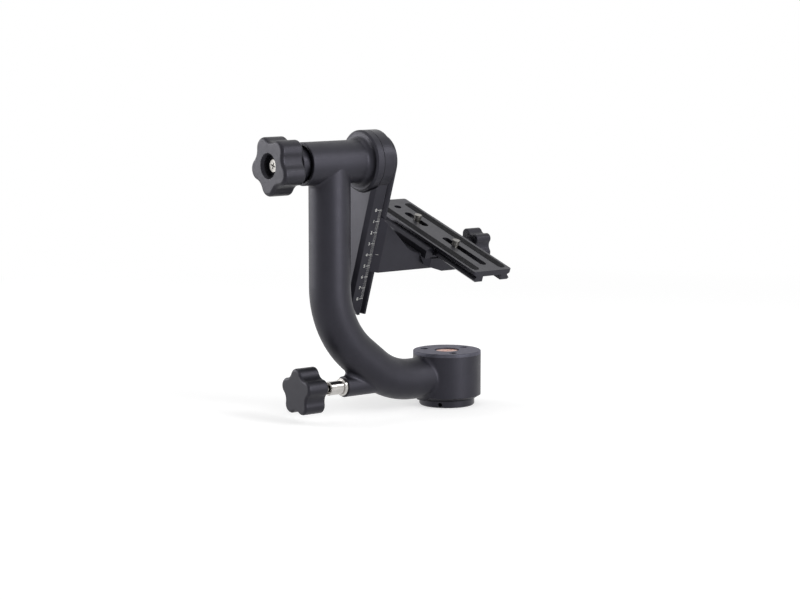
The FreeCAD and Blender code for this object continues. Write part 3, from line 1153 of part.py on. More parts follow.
def make_tilt_lock():
    """Thrust washer, collar, stud, star knob and its screw on the tilt axis."""
    bearing_face = "-cross_end + cross_mouth_depth"
    washer = turned("tilt_thrust_washer", [
        ("tilt_race_bore", "0"), ("collar_radius", "0"),
        ("collar_radius", "washer_height"), ("tilt_race_bore", "washer_height")])
    place_tilted(washer, x=f"{bearing_face} - washer_gap", turn=AGAINST_X)

    collar_start = "cross_end - cross_mouth_depth + washer_gap + washer_height + collar_gap"
    collar = turned("tilt_lock_collar", [
        ("collar_bore", "0"), ("collar_radius", "0"),
        ("collar_radius", "collar_length - collar_edge"),
        ("collar_radius - collar_edge", "collar_length"), ("collar_bore", "collar_length")])
    place_tilted(collar, x=f"-({collar_start})", turn=AGAINST_X)

    back = f"{collar_start} + collar_length + collar_gap"
    knob = lobed_knob("tilt_lock_knob", "big_knob", "big_knob_length", "big_knob_edge",
                      "big_knob_back_edge")
    boss = sketch_on(knob, "XY")
    circle(boss, "0", "0", "big_knob_boss")
    pad(knob, boss, "big_knob_boss_length", down=True)
    recess = sketch_on(knob, "XY", "big_knob_length")
    circle(recess, "0", "0", "big_knob_recess")
    pocket(knob, recess, "big_knob_recess_depth + knob_screw_head_height")
    mouth = sketch_on(knob, "XZ")
    polygon(mouth, [("0", "big_knob_length - big_knob_mouth_depth"),
                    ("big_knob_recess", "big_knob_length - big_knob_mouth_depth"),
                    ("big_knob_mouth", "big_knob_length"), ("0", "big_knob_length")])
    turn_about(knob, mouth, "V_Axis", cut=True)
    low = "-big_knob_boss_length"
    for radius, length in (("stud_head_radius", "stud_head_height"),
                           ("knob_screw_radius", "big_knob_length + big_knob_boss_length")):
        sketch = sketch_on(knob, "XY", low)
        circle(sketch, "0", "0", radius)
        pocket(knob, sketch, length, up=True)
    knob_origin = f"{back} + big_knob_boss_length"
    place_tilted(knob, x=f"-({knob_origin})", turn=Rotation(Vector(0, 1, 0), -90) * Rotation(
        Vector(0, 0, 1), size("big_knob_turn")))

    tip = "cross_end - cross_mouth_depth - stud_reach"
    head_low = f"{back} - ({tip})"
    screw_end = "big_knob_length + big_knob_boss_length - big_knob_recess_depth" \
        " - knob_screw_head_height - knob_screw_length"
    stud = turned("tilt_lock_stud", [
        ("0", "0"), ("stud_radius", "0"), ("stud_radius", head_low), ("stud_head_radius", head_low),
        ("stud_head_radius", f"{head_low} + stud_head_height"),
        ("knob_screw_radius", f"{head_low} + stud_head_height"),
        ("knob_screw_radius", f"{head_low} + {screw_end}"), ("0", f"{head_low} + {screw_end}")])
    place_tilted(stud, x=f"-({tip})", turn=AGAINST_X)

    screw = turned("tilt_knob_screw", [
        ("0", "0"), ("knob_screw_radius", "0"), ("knob_screw_radius", "knob_screw_length"),
        ("knob_screw_head", "knob_screw_length"),
        ("knob_screw_head", "knob_screw_length + knob_screw_head_height - knob_screw_dome"),
        ("knob_screw_head - knob_screw_dome", "knob_screw_length + knob_screw_head_height"),
        ("0", "knob_screw_length + knob_screw_head_height")])
    sketch = sketch_on(screw, "XY", "knob_screw_length + knob_screw_head_height")
    arm, half = "cross_recess_arm", "cross_recess_width/2"
    polygon(sketch, [(arm, f"-{half}"), (arm, half), (half, half), (half, arm), (f"-{half}", arm),
                     (f"-{half}", half), (f"-{arm}", half), (f"-{arm}", f"-{half}"),
                     (f"-{half}", f"-{half}"), (f"-{half}", f"-{arm}"), (half, f"-{arm}"),
                     (half, f"-{half}")])
    pocket(screw, sketch, "cross_recess_depth")
    place_tilted(screw, x=f"-({back} + {screw_end})", turn=AGAINST_X)


# ---------------------------------------------------------------- platform bracket and its lock
def make_bracket():
    """L bracket on the rail, with a sloping web, a shelf, a wider seat and the gib housing."""
    body = new_body("platform_bracket")
    front = "-disc_inner_face + rail_gap"
    side = sketch_on(body, "XZ")
    foot = "-shelf_top + web_step"
    polygon(side, [
        (front, "-bracket_bottom"), ("seat_end", "-bracket_bottom"), ("seat_end", foot),
        ("-web_foot", foot), (f"{front} + bracket_brow", "-bracket_top"), (front, "-bracket_top")])
    block = pad(body, side, "bracket_half_width*2", both=True)
    inner_corner = lambda edge: edge.BoundBox.XLength < 0.01 and edge.BoundBox.ZLength < 0.01 and abs(
        edge.BoundBox.XMin + size("web_foot")) < 0.01
    soften(body, block, "web_curve", inner_corner)
    ears = sketch_on(body, "XZ")
    start = "-(seat_start + seat_flare)"
    polygon(ears, [
        (start, foot), (f"{start} + seat_flare/2", "-bracket_bottom + seat_cheek"),
        ("-seat_toe", "-bracket_bottom"), ("seat_end", "-bracket_bottom"), ("seat_end", foot)])
    pad(body, ears, "seat_half_width*2", both=True)
    flat = sketch_on(body, "XZ")
    edge = "-(clamp_outer + jaw_gap)"
    polygon(flat, [(edge, "-shelf_top"), ("seat_end + 1", "-shelf_top"),
                   ("seat_end + 1", "-plate_top"), (edge, "-plate_top")])
    pocket(body, flat, "seat_half_width*2 + 2", both=True)

    plan = sketch_on(body, "XY", "-bracket_bottom - 1")
    reach = "seat_half_width + 1"
    polygon(plan, [(f"{front} - 1", reach), (f"{front} - 1", "bracket_edge_half_width"),
                   (front, "bracket_edge_half_width"),
                   (f"{front} + bracket_edge_run", "bracket_half_width"),
                   (start, "bracket_half_width"),
                   ("-seat_start", "seat_half_width"), ("-seat_start", reach)])
    polygon(plan, [(f"{front} - 1", f"-({reach})"), (f"{front} - 1", "-bracket_bevel_start"),
                   (front, "-bracket_bevel_start"),
                   (f"{front} + bracket_bevel_run", "-bracket_half_width"),
                   (start, "-bracket_half_width"),
                   ("-seat_start", "-seat_half_width"), ("-seat_start", f"-({reach})")])
    pocket(body, plan, "bracket_bottom", up=True)

    housing = sketch_on(body, "XY", "-bracket_bottom")
    polygon(housing, [("-housing_outer", "housing_start"), ("-housing_inner", "housing_start"),
                      ("-housing_inner", "housing_end"), ("-housing_outer", "housing_end")])
    pad(body, housing, "bracket_bottom - housing_top")
    boss = sketch_on(body, "XZ", "-lock_boss_end")
    circle(boss, "-(disc_inner_face + rail_face)/2", "-gib_height_middle", "lock_boss_radius")
    pad(body, boss, "lock_boss_end - housing_end + 1")
    doc.recompute()

    groove = sketch_on(body, "XY", "-bracket_bottom - 1")
    gap = "rail_gap"
    polygon(groove, [
        (f"{front} - 1", f"-(rail_neck + {gap})"),
        ("-disc_inner_face + rail_neck_depth - flank_gap", f"-(rail_neck + {gap})"),
        ("-rail_face - rail_lip - flank_gap", f"-(rail_half_width + {gap})"),
        (f"-rail_face + {gap}", f"-(rail_half_width + {gap})"),
        (f"-rail_face + {gap}", f"rail_half_width + {gap}"),
        ("-rail_face - rail_lip - flank_gap", f"rail_half_width + {gap}"),
        ("-disc_inner_face + rail_neck_depth - flank_gap", f"rail_neck + {gap}"),
        (f"{front} - 1", f"rail_neck + {gap}")])
    pocket(body, groove, "bracket_bottom", up=True)

    room = sketch_on(body, "XZ", "-(gib_end + gib_travel_room)")
    low = "-gib_height_middle - gib_half_height - gib_fit"
    high = "-gib_height_middle + gib_half_height + gib_fit"
    polygon(room, [("-disc_inner_face + gib_fit", low), ("-rail_face + gib_fit + rail_gap", low),
                   ("-rail_face + gib_fit + rail_gap", high), ("-disc_inner_face + gib_fit", high)])
    pocket(body, room, "gib_end + gib_travel_room", up=True)
    screw_hole = sketch_on(body, "XZ", "-(lock_boss_end + 1)")
    circle(screw_hole, "-(disc_inner_face + rail_face)/2", "-gib_height_middle",
           "lock_screw_radius + thread_fit")
    pocket(body, screw_hole, "lock_boss_end - gib_end", up=True)

    for radius, spread, depth in (("clamp_screw_radius + thread_fit", "0", "clamp_screw_reach"),
                                  ("guide_pin_radius", "guide_pin_spread", "guide_pin_reach")):
        sketch = sketch_on(body, "YZ", "seat_end")
        circle(sketch, spread, "-clamp_axis", radius)
        if spread != "0":
            circle(sketch, f"-{spread}", "-clamp_axis", radius)
        pocket(body, sketch, depth)
    bolts = sketch_on(body, "XY", "-shelf_top")
    for x, y in clamp_bolt_spots():
        circle(bolts, x, y, "clamp_bolt_radius")
    pocket(body, bolts, "clamp_bolt_length")
    place_tilted(body)


def clamp_bolt_spots():
    """Places of the two bolts that hold the clamp on its seat."""
    return [("clamp_bolt_offset", "clamp_bolt_circle"), ("clamp_bolt_offset", "-clamp_bolt_circle")]


def make_platform_lock():
    """Gib, lock screw and star knob behind the bracket."""
    gib = new_body("platform_gib")
    plan = sketch_on(gib, "XY", "-gib_height_middle - gib_half_height")
    gap = "rail_gap"
    polygon(plan, [
        ("-disc_inner_face + rail_gap", "gib_end"), ("-rail_face + rail_gap", "gib_end"),
        ("-rail_face + rail_gap", f"rail_half_width + {gap}"),
        ("-rail_face - rail_lip - flank_gap", f"rail_half_width + {gap}"),
        ("-disc_inner_face + rail_neck_depth - flank_gap", f"rail_neck + {gap}"),
        ("-disc_inner_face + rail_gap", f"rail_neck + {gap}")])
    pad(gib, plan, "gib_half_height*2")
    nose = sketch_on(gib, "XZ", "-gib_end")
    middle = "-(disc_inner_face + rail_face)/2"
    circle(nose, middle, "-gib_height_middle", "lock_screw_nose + thread_fit")
    pocket(gib, nose, "lock_screw_nose_length + shoulder_gap", up=True)
    place_tilted(gib)

    screw_end = "lock_knob_start + lock_knob_bore - gib_end"
    screw = turned("platform_lock_screw", [
        ("0", "-lock_screw_nose_length"), ("lock_screw_nose", "-lock_screw_nose_length"),
        ("lock_screw_nose", "shoulder_gap"), ("lock_screw_radius", "shoulder_gap"),
        ("lock_screw_radius", screw_end), ("0", screw_end)])
    place_tilted(screw, x=middle, y="gib_end", z="-gib_height_middle", turn=ALONG_Y)

    knob = lobed_knob("platform_lock_knob", "lock_knob", "lock_knob_length", "lock_knob_edge",
                      "lock_knob_edge*0.7")
    bore = sketch_on(knob, "XY")
    circle(bore, "0", "0", "lock_screw_radius")
    pocket(knob, bore, "lock_knob_bore", up=True)
    place_tilted(knob, x=middle, y="lock_knob_start", z="-gib_height_middle", turn=ALONG_Y)


# ---------------------------------------------------------------- clamp
def make_clamp():
    """Clamp floor with its fixed jaw, bolts, guide pins, moving jaw, screw and knob."""
    gap = "jaw_gap"
    flank_low = "-(plate_top + plate_height - plate_foot_bevel)"
    neck_low = "-(plate_top + plate_neck_drop + jaw_neck_gap)"
    base = new_body("clamp_base")
    side = sketch_on(base, "XZ")
    polygon(side, [
        ("-clamp_outer", "-shelf_top"), ("seat_end - jaw_gap", "-shelf_top"),
        ("seat_end - jaw_gap", "-clamp_floor_top - jaw_gap"),
        ("plate_channel + clamp_step", "-clamp_floor_top - jaw_gap"),
        ("plate_channel + clamp_step", "-clamp_floor_top"),
        (f"-plate_dovetail - {gap}", "-clamp_floor_top"), (f"-plate_dovetail - {gap}", flank_low),
        (f"-plate_neck - {gap}", neck_low), ("-plate_half_width", "-jaw_top"),
        ("-clamp_outer + jaw_edge", "-jaw_top"), ("-clamp_outer", "-jaw_top - jaw_edge")])
    pad(base, side, "clamp_half_length*2", both=True)
    for radius, depth in (("clamp_bolt_radius", "shelf_top"),
                          ("clamp_bolt_head", "clamp_bolt_head_height")):
        sketch = sketch_on(base, "XY", "-clamp_floor_top")
        for x, y in clamp_bolt_spots():
            circle(sketch, x, y, radius)
        pocket(base, sketch, depth)
    place_tilted(base)

    bolts = screws("clamp_bolts", "clamp_bolt", clamp_bolt_spots())
    place_tilted(bolts, z="-clamp_floor_top")

    inner = "seat_end + jaw_seat_gap"
    outer = f"{inner} + jaw_thickness"
    jaw = new_body("clamp_jaw")
    side = sketch_on(jaw, "XZ")
    polygon(side, [
        ("plate_half_width", "-jaw_top"), (f"plate_neck + {gap}", neck_low),
        (f"plate_dovetail + {gap}", flank_low), (f"plate_dovetail + {gap}", "-clamp_floor_top"),
        (inner, "-clamp_floor_top"), (inner, "-jaw_bottom"), (outer, "-jaw_bottom"),
        (outer, "-jaw_top - jaw_edge"), (f"{outer} - jaw_edge", "-jaw_top")])
    pad(jaw, side, "clamp_half_length*2", both=True)
    hole = sketch_on(jaw, "YZ", inner)
    circle(hole, "0", "-clamp_axis", "clamp_screw_radius + clamp_shank_fit")
    pocket(jaw, hole, "jaw_thickness + 1", up=True)
    blind = sketch_on(jaw, "YZ", inner)
    for spread in ("guide_pin_spread", "-guide_pin_spread"):
        circle(blind, spread, "-clamp_axis", "guide_pin_radius + guide_pin_fit")
    pocket(jaw, blind, "jaw_thickness - guide_pin_cap", up=True)
    place_tilted(jaw)

    pins = new_body("clamp_guide_pins")
    sketch = sketch_on(pins, "YZ", "seat_end - guide_pin_reach")
    for spread in ("guide_pin_spread", "-guide_pin_spread"):
        circle(sketch, spread, "-clamp_axis", "guide_pin_radius")
    pad(pins, sketch, "guide_pin_reach + jaw_seat_gap + jaw_thickness - guide_pin_cap - guide_pin_end")
    place_tilted(pins)

    start = f"{outer} + clamp_knob_gap"
    knob = lobed_knob("clamp_knob", "clamp_knob", "clamp_knob_length", "clamp_knob_edge",
                      "clamp_knob_edge*0.7")
    neck = sketch_on(knob, "XY")
    circle(neck, "0", "0", "clamp_knob_neck")
    pad(knob, neck, "clamp_knob_neck_length", down=True)
    bore = sketch_on(knob, "XY", "-clamp_knob_neck_length")
    circle(bore, "0", "0", "clamp_screw_radius")
    pocket(knob, bore, "clamp_knob_neck_length + clamp_knob_length*0.6", up=True)
    place_tilted(knob, x=f"{start} + clamp_knob_neck_length", z="-clamp_axis",
                 turn=Rotation(Vector(0, 1, 0), 90))

    low = "seat_end - clamp_screw_reach + clamp_screw_room"
    length = f"{start} + clamp_knob_neck_length + clamp_knob_length*0.6 - ({low})"
    screw = turned("clamp_screw", [("0", "0"), ("clamp_screw_radius", "0"),
                                   ("clamp_screw_radius", length), ("0", length)])
    place_tilted(screw, x=low, z="-clamp_axis", turn=ALONG_X)


# ---------------------------------------------------------------- camera plate
def make_plate():
    """Dovetail plate with two slots, a hole, and pockets for the grip strips."""
    body = new_body("camera_plate")
    top, low = "-plate_top", "-(plate_top + plate_height)"
    half = [("plate_half_width", top), ("plate_half_width", f"{top} - plate_flange"),
            ("plate_neck", f"{top} - plate_neck_drop"),
            ("plate_dovetail", f"{low} + plate_foot_bevel"),
            ("plate_dovetail - plate_foot_bevel", low), ("plate_channel", low),
            ("plate_channel", f"{top} - plate_web")]
    mirrored = [(f"-({x})", z) for x, z in reversed(half)]
    section = sketch_on(body, "XZ", "plate_front")
    polygon(section, half + mirrored)
    solid = pad(body, section, "plate_front + plate_back", down=True)
    doc.recompute()
    wide = size("plate_half_width")
    corner = lambda edge: edge.BoundBox.XLength < 1e-4 and edge.BoundBox.YLength < 1e-4 and abs(
        abs(edge.BoundBox.XMin) - wide) < 1e-4
    soften(body, solid, "plate_corner", corner)
    cuts = sketch_on(body, "XY", top)
    slot(cuts, "-front_slot_front", "-front_slot_back", "slot_half_width")
    slot(cuts, "back_slot_front", "back_slot_back", "slot_half_width")
    circle(cuts, "0", "plate_hole_place", "plate_hole_radius")
    pocket(body, cuts, "plate_web + 1")
    strips = sketch_on(body, "XY", top)
    strip_outlines(strips)
    pocket(body, strips, "strip_depth")
    place_tilted(body)

    grips = new_body("plate_grip_strips")
    sketch = sketch_on(grips, "XY", f"{top} - strip_depth")
    strip_outlines(sketch)
    pad(grips, sketch, "strip_depth + strip_proud")
    place_tilted(grips)


def strip_outlines(sketch):
    """Two round-ended strips along the plate."""
    for sign in ("", "-"):
        slot(sketch, "-strip_front", "strip_back", "(strip_outer - strip_inner)/2",
             x=f"{sign}(strip_outer + strip_inner)/2")


def make_camera_screws():
    """Two quarter inch screws with their retaining washers, under the slots of the plate."""
    under = "-(plate_top + plate_web)"
    for name, spot in (("front", "-front_screw_place"), ("back", "back_screw_place")):
        washer = turned(f"{name}_screw_washer", [
            ("camera_screw_neck + washer_fit", "0"), ("camera_washer_radius", "0"),
            ("camera_washer_radius", "camera_washer_height"),
            ("camera_screw_neck + washer_fit", "camera_washer_height")])
        place_tilted(washer, y=spot, z=f"{under} - camera_washer_gap - camera_washer_height")
        head_top = "-camera_washer_gap*2 - camera_washer_height"
        neck_top = "plate_web + camera_thread_start"
        body = turned(f"{name}_camera_screw", [
            ("0", f"{head_top} - camera_screw_head_height"),
            ("camera_screw_head", f"{head_top} - camera_screw_head_height"),
            ("camera_screw_head", head_top), ("camera_screw_neck", head_top),
            ("camera_screw_neck", neck_top), ("camera_screw_radius", neck_top),
            ("camera_screw_radius", "plate_web + camera_screw_stick"),
            ("0", "plate_web + camera_screw_stick")])
        sketch = sketch_on(body, "XY", f"{head_top} - camera_screw_head_height")
        hexagon(sketch, "0", "0", "socket_radius*1.8")
        pocket(body, sketch, "socket_depth*1.6", up=True)
        place_tilted(body, y=spot, z=under)


# ---------------------------------------------------------------- build, check and write
def build():
    """Make every sub-part."""
    make_base_ring()
    make_grub_screws()
    make_thread_insert()
    make_spindle()
    make_pan_nut()
    make_base_screws()
    make_pan_bearings()
    make_arm()
    make_hub_cover()
    make_cover_screws()
    make_tilt_bearings()
    make_friction_ring()
    make_pan_lock()
    make_swing_arm()
    make_tilt_shaft()
    make_tilt_lock()
    make_bracket()
    make_platform_lock()
    make_clamp()
    make_plate()
    make_camera_screws()


def check():
    """Stop if any object failed or any sub-part has no sound shape."""
    doc.recompute()
    for item in doc.Objects:
        if "Invalid" in item.State or "Error" in item.State:
            raise RuntimeError(f"{item.Name} of {item.Label} failed: {item.State}")
    bodies = [item for item in doc.Objects if item.TypeId == "PartDesign::Body"]
    for body in bodies:
        if body.Shape.isNull() or not body.Shape.isValid():
            raise RuntimeError(f"{body.Label} has no sound shape")
    return bodies


def write(bodies):
    """Write one STEP file for each sub-part."""
    os.makedirs("parts", exist_ok=True)
    for body in bodies:
        body.Shape.exportStep(f"parts/{body.Label}.step")
        box = body.Shape.BoundBox
        print(f"{body.Label}: {len(body.Shape.Solids)} solid(s), {body.Shape.Volume:.0f} mm3, "
              f"{box.XLength:.1f} x {box.YLength:.1f} x {box.ZLength:.1f}")


build()
write(check())
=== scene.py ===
"""Finishes, printed scale, grip ribs, studio and camera of a gimbal tripod head.

Every piece is in metres in the row frame.  What tilts is laid out in the swing frame, whose
origin lies on the tilt axis, and is turned by the rest tilt.
"""

import logging
import math
from dataclasses import dataclass, field
from enum import Enum
from typing import Any, Callable, Iterable, Sequence

import bmesh
import bpy
from mathutils import Matrix, Vector


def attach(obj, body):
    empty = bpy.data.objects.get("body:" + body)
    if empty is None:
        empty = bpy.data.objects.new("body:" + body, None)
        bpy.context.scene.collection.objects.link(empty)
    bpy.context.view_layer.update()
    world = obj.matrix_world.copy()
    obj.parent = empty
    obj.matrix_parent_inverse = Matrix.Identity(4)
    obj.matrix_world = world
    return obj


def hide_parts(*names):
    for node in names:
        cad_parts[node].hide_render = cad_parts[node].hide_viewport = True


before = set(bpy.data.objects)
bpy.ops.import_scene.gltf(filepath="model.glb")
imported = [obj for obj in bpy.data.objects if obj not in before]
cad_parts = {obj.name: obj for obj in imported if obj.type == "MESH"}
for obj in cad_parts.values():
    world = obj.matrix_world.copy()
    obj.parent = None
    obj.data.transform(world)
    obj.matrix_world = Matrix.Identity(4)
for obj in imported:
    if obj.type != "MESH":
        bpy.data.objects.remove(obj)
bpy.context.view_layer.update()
MM = 0.001
# rings that the wave texture draws in one unit of length at a scale of one, rounded
WAVES_PER_SCALE = 20
# tint of the light that a black finish mirrors, a little to the blue
COOL_BLACK = "#eeebff"
LOG = logging.getLogger("gimbal_head")


class Axis(Enum):
    """An axis of an object's own space, along which turned marks lie."""

    X = 0
    Y = 1
    Z = 2


# ------------------------------------------------------------------ colour and nodes
def linear(code: str) -> tuple[float, float, float, float]:
    """Turn an sRGB hex code into a linear colour.

    Args:
        code: six hex digits with a leading hash.

    Returns:
        Linear red, green and blue with full opacity.
    """
    parts = [int(code[i:i + 2], 16) / 255 for i in (1, 3, 5)]
    red, green, blue = (
        value / 12.92 if value <= 0.04045 else ((value + 0.055) / 1.055) ** 2.4 for value in parts)
    return red, green, blue, 1.0


def add_node(tree: bpy.types.NodeTree, kind: str, sockets: dict[Any, Any] | None = None,
             **settings: Any) -> bpy.types.Node:
    """Add a node, set its properties, and fill or link its inputs.

    Args:
        tree: node tree that takes the node.
        kind: Blender's name of the node type.
        sockets: input name or index to a value, or to the output that feeds it.
        **settings: properties of the node itself.

    Returns:
        The new node.
    """
    node = tree.nodes.new(kind)
    for name, value in settings.items():
        setattr(node, name, value)
    for name, value in (sockets or {}).items():
        if isinstance(value, bpy.types.NodeSocket):
            tree.links.new(value, node.inputs[name])
        else:
            node.inputs[name].default_value = value
    return node


def speckle(tree: bpy.types.NodeTree, size_mm: float, detail: float = 2.0,
            stretch: Sequence[float] = (1.0, 1.0, 1.0)) -> bpy.types.NodeSocket:
    """Noise over an object's own space with blotches of a real size.

    Args:
        tree: node tree that takes the noise.
        size_mm: width of one blotch in millimetres.
        detail: how many finer layers it has.
        stretch: how much the space is squeezed along each axis, which draws the blotches out.

    Returns:
        The noise's value, around one half.
    """
    place = add_node(tree, "ShaderNodeTexCoord").outputs["Object"]
    squeezed = add_node(tree, "ShaderNodeMapping", {"Vector": place, "Scale": Vector(stretch)})
    noise = add_node(tree, "ShaderNodeTexNoise", {
        "Vector": squeezed.outputs[0], "Scale": 1.0 / (size_mm * MM), "Detail": detail,
        "Roughness": 0.6})
    return noise.outputs[0]


def between(tree: bpy.types.NodeTree, value: bpy.types.NodeSocket, low: float, high: float,
            start: float = 0.3, end: float = 0.7) -> bpy.types.NodeSocket:
    """Spread a value from one range to another.

    Args:
        tree: node tree that takes the node.
        value: what is spread.
        low: result at the start of the range.
        high: result at its end.
        start: lower end of the value's own range.
        end: upper end of the value's own range.

    Returns:
        The spread value.
    """
    spread = add_node(tree, "ShaderNodeMapRange", {
        "Value": value, "From Min": start, "From Max": end, "To Min": low, "To Max": high})
    return spread.outputs[0]


# ------------------------------------------------------------------ finishes
@dataclass(frozen=True)
class Finish:
    """A surface finish: two close colours in blotches, a spread of gloss and a fine grain."""

    name: str = "plain"
    dark: str = "#202022"
    light: str = "#28282b"
    metallic: float = 0.0
    gloss: tuple[float, float] = (0.4, 0.5)
    blotch_mm: float = 9.0
    # width of the blotches in gloss against those in colour
    gloss_share: float = 0.6
    grain_mm: float = 0.5
    grain_depth_mm: float = 0.02
    edge_mm: float = 0.35
    specular: float = 0.5
    specular_tint: str = "#ffffff"

    def relief(self, tree: bpy.types.NodeTree) -> bpy.types.NodeSocket:
        """Height of the fine grain, from 0 to 1."""
        return speckle(tree, self.grain_mm, 3.0)

    def wear(self, tree: bpy.types.NodeTree, colour: bpy.types.NodeSocket) -> bpy.types.NodeSocket:
        """Colour after use; a plain finish keeps its own."""
        return colour

    def build(self) -> bpy.types.Material:
        """Make the material.

        Returns:
            A material with its own node tree.
        """
        material = bpy.data.materials.new(self.name)
        material.use_nodes = True
        tree = material.node_tree
        tree.nodes.clear()
        blotches = speckle(tree, self.blotch_mm, 4.0)
        colour = add_node(tree, "ShaderNodeMix", {
            0: between(tree, blotches, 0.0, 1.0), 6: linear(self.dark), 7: linear(self.light)},
            data_type="RGBA")
        rough = between(tree, speckle(tree, self.blotch_mm * self.gloss_share, 3.0), *self.gloss)
        edges = add_node(tree, "ShaderNodeBevel", {"Radius": self.edge_mm * MM}, samples=4)
        bump = add_node(tree, "ShaderNodeBump", {
            "Height": self.relief(tree), "Distance": self.grain_depth_mm * MM,
            "Strength": 1.0, "Normal": edges.outputs[0]})
        shader = add_node(tree, "ShaderNodeBsdfPrincipled", {
            "Base Color": self.wear(tree, colour.outputs[2]), "Metallic": self.metallic,
            "Roughness": rough, "Normal": bump.outputs[0], "Specular IOR Level": self.specular,
            "Specular Tint": linear(self.specular_tint)})
        add_node(tree, "ShaderNodeOutputMaterial", {"Surface": shader.outputs[0]})
        return material


@dataclass(frozen=True)
class PowderCoat(Finish):
    """Black polyester powder coat on cast aluminium, baked to a fine sandy skin.

    It gives the eye a soft grey bloom on the tube's flanks and a dry, slightly sandy surface.
    """

    name: str = "black_powder_coat"
    dark: str = "#121216"
    light: str = "#18181d"
    gloss: tuple[float, float] = (0.42, 0.50)
    blotch_mm: float = 14.0
    specular: float = 0.38
    specular_tint: str = COOL_BLACK
    # real sand is near 0.2 mm; drawn at 0.7 mm so that it still shows at this size
    grain_mm: float = 0.7
    grain_depth_mm: float = 0.05
    edge_mm: float = 0.6


@dataclass(frozen=True)
class AnodisedAluminium(Finish):
    """Milled, bead-blasted and black-anodised aluminium.

    It gives an even near-black that turns grey where it mirrors a light, and thin paler edges.
    """

    name: str = "black_anodised_aluminium"
    dark: str = "#141418"
    light: str = "#19191e"
    gloss: tuple[float, float] = (0.31, 0.38)
    blotch_mm: float = 11.0
    specular: float = 0.35
    specular_tint: str = COOL_BLACK
    # bead-blast pits are near 0.1 mm; drawn at 0.35 mm so that they show
    grain_mm: float = 0.35
    grain_depth_mm: float = 0.012
    edge_mm: float = 0.35
    bare: str = "#8d8d90"
    wear_mm: float = 0.3
    wear_amount: float = 0.10
    # cosine of the turn between the soft and the true normal: full wear, and none
    wear_turn: tuple[float, float] = (0.80, 0.985)

    def wear(self, tree: bpy.types.NodeTree, colour: bpy.types.NodeSocket) -> bpy.types.NodeSocket:
        """Let a little bare metal through along the edges.

        Args:
            tree: node tree of the material.
            colour: colour of the sound surface.

        Returns:
            The colour with pale edges.
        """
        soft = add_node(tree, "ShaderNodeBevel", {"Radius": self.wear_mm * MM}, samples=4)
        true = add_node(tree, "ShaderNodeNewGeometry").outputs["Normal"]
        turn = add_node(tree, "ShaderNodeVectorMath", {0: soft.outputs[0], 1: true},
                        operation="DOT_PRODUCT")
        amount = between(tree, turn.outputs["Value"], self.wear_amount, 0.0, *self.wear_turn)
        mixed = add_node(tree, "ShaderNodeMix", {0: amount, 6: colour, 7: linear(self.bare)},
                         data_type="RGBA")
        return mixed.outputs[2]


@dataclass(frozen=True)
class TurnedMetal(Finish):
    """Metal turned on a lathe, with fine rings round its axis.

    The rings stretch every highlight across the turning marks.
    """

    name: str = "turned_steel"
    dark: str = "#aeaba8"
    light: str = "#c0bdba"
    metallic: float = 1.0
    gloss: tuple[float, float] = (0.10, 0.18)
    blotch_mm: float = 5.0
    # turning feed is near 0.1 mm; drawn at 0.3 mm so that it shows
    grain_mm: float = 0.3
    grain_depth_mm: float = 0.006
    edge_mm: float = 0.2
    axis: Axis = Axis.X
    # the marks run this many times further round the axis than along it
    ring_run: float = 50.0

    def relief(self, tree: bpy.types.NodeTree) -> bpy.types.NodeSocket:
        """Height of the turning marks, as bands that cross the axis."""
        stretch = [1.0 / self.ring_run] * len(Axis)
        stretch[self.axis.value] = 1.0
        return speckle(tree, self.grain_mm, 2.0, stretch)


@dataclass(frozen=True)
class FacedMetal(TurnedMetal):
    """Metal faced on a lathe: fine rings round the centre of a flat face.

    It gives the cover a fan of soft grey light.
    """

    name: str = "faced_black_aluminium"
    dark: str = "#3f3f46"
    light: str = "#4a4a53"
    metallic: float = 0.45
    gloss: tuple[float, float] = (0.46, 0.54)
    axis: Axis = Axis.Z
    specular: float = 0.3
    specular_tint: str = COOL_BLACK

    def relief(self, tree: bpy.types.NodeTree) -> bpy.types.NodeSocket:
        """Height of the rings round the axis."""
        place = add_node(tree, "ShaderNodeTexCoord").outputs["Object"]
        rings = add_node(tree, "ShaderNodeTexWave", {
            "Vector": place, "Scale": 1.0 / (self.grain_mm * MM) / WAVES_PER_SCALE,
            "Distortion": 0.6, "Detail": 1.0, "Detail Scale": 2.0}, wave_type="RINGS",
            rings_direction=self.axis.name)
        return rings.outputs["Fac"]


@dataclass(frozen=True)
class KnobRubber(Finish):
    """Moulded thermoplastic rubber over a stiff core, with a spark-eroded satin skin.

    It gives a soft, slightly greyish black whose lobes catch long dull highlights.
    """

    name: str = "knob_rubber"
    dark: str = "#121215"
    light: str = "#18181b"
    gloss: tuple[float, float] = (0.38, 0.46)
    blotch_mm: float = 8.0
    specular: float = 0.33
    specular_tint: str = COOL_BLACK
    # spark texture is near 0.15 mm; drawn at 0.45 mm so that it shows
    grain_mm: float = 0.45
    grain_depth_mm: float = 0.02
    edge_mm: float = 0.5


@dataclass(frozen=True)
class GripRubber(Finish):
    """Ribbed natural rubber strip, dead matte and a little dusty."""

    name: str = "grip_rubber"
    dark: str = "#131315"
    light: str = "#1d1d1f"
    gloss: tuple[float, float] = (0.72, 0.85)
    blotch_mm: float = 4.0
    grain_mm: float = 0.3
    grain_depth_mm: float = 0.02
    edge_mm: float = 0.1
    specular: float = 0.15


@dataclass(frozen=True)
class BlackOxide(Finish):
    """Steel screws in a hot black oxide, oiled: nearly black with a dull sheen."""

    name: str = "black_oxide_steel"
    dark: str = "#0f0f10"
    light: str = "#19191a"
    metallic: float = 0.3
    specular: float = 0.25
    gloss: tuple[float, float] = (0.32, 0.44)
    blotch_mm: float = 2.0
    grain_mm: float = 0.3
    grain_depth_mm: float = 0.006
    edge_mm: float = 0.15


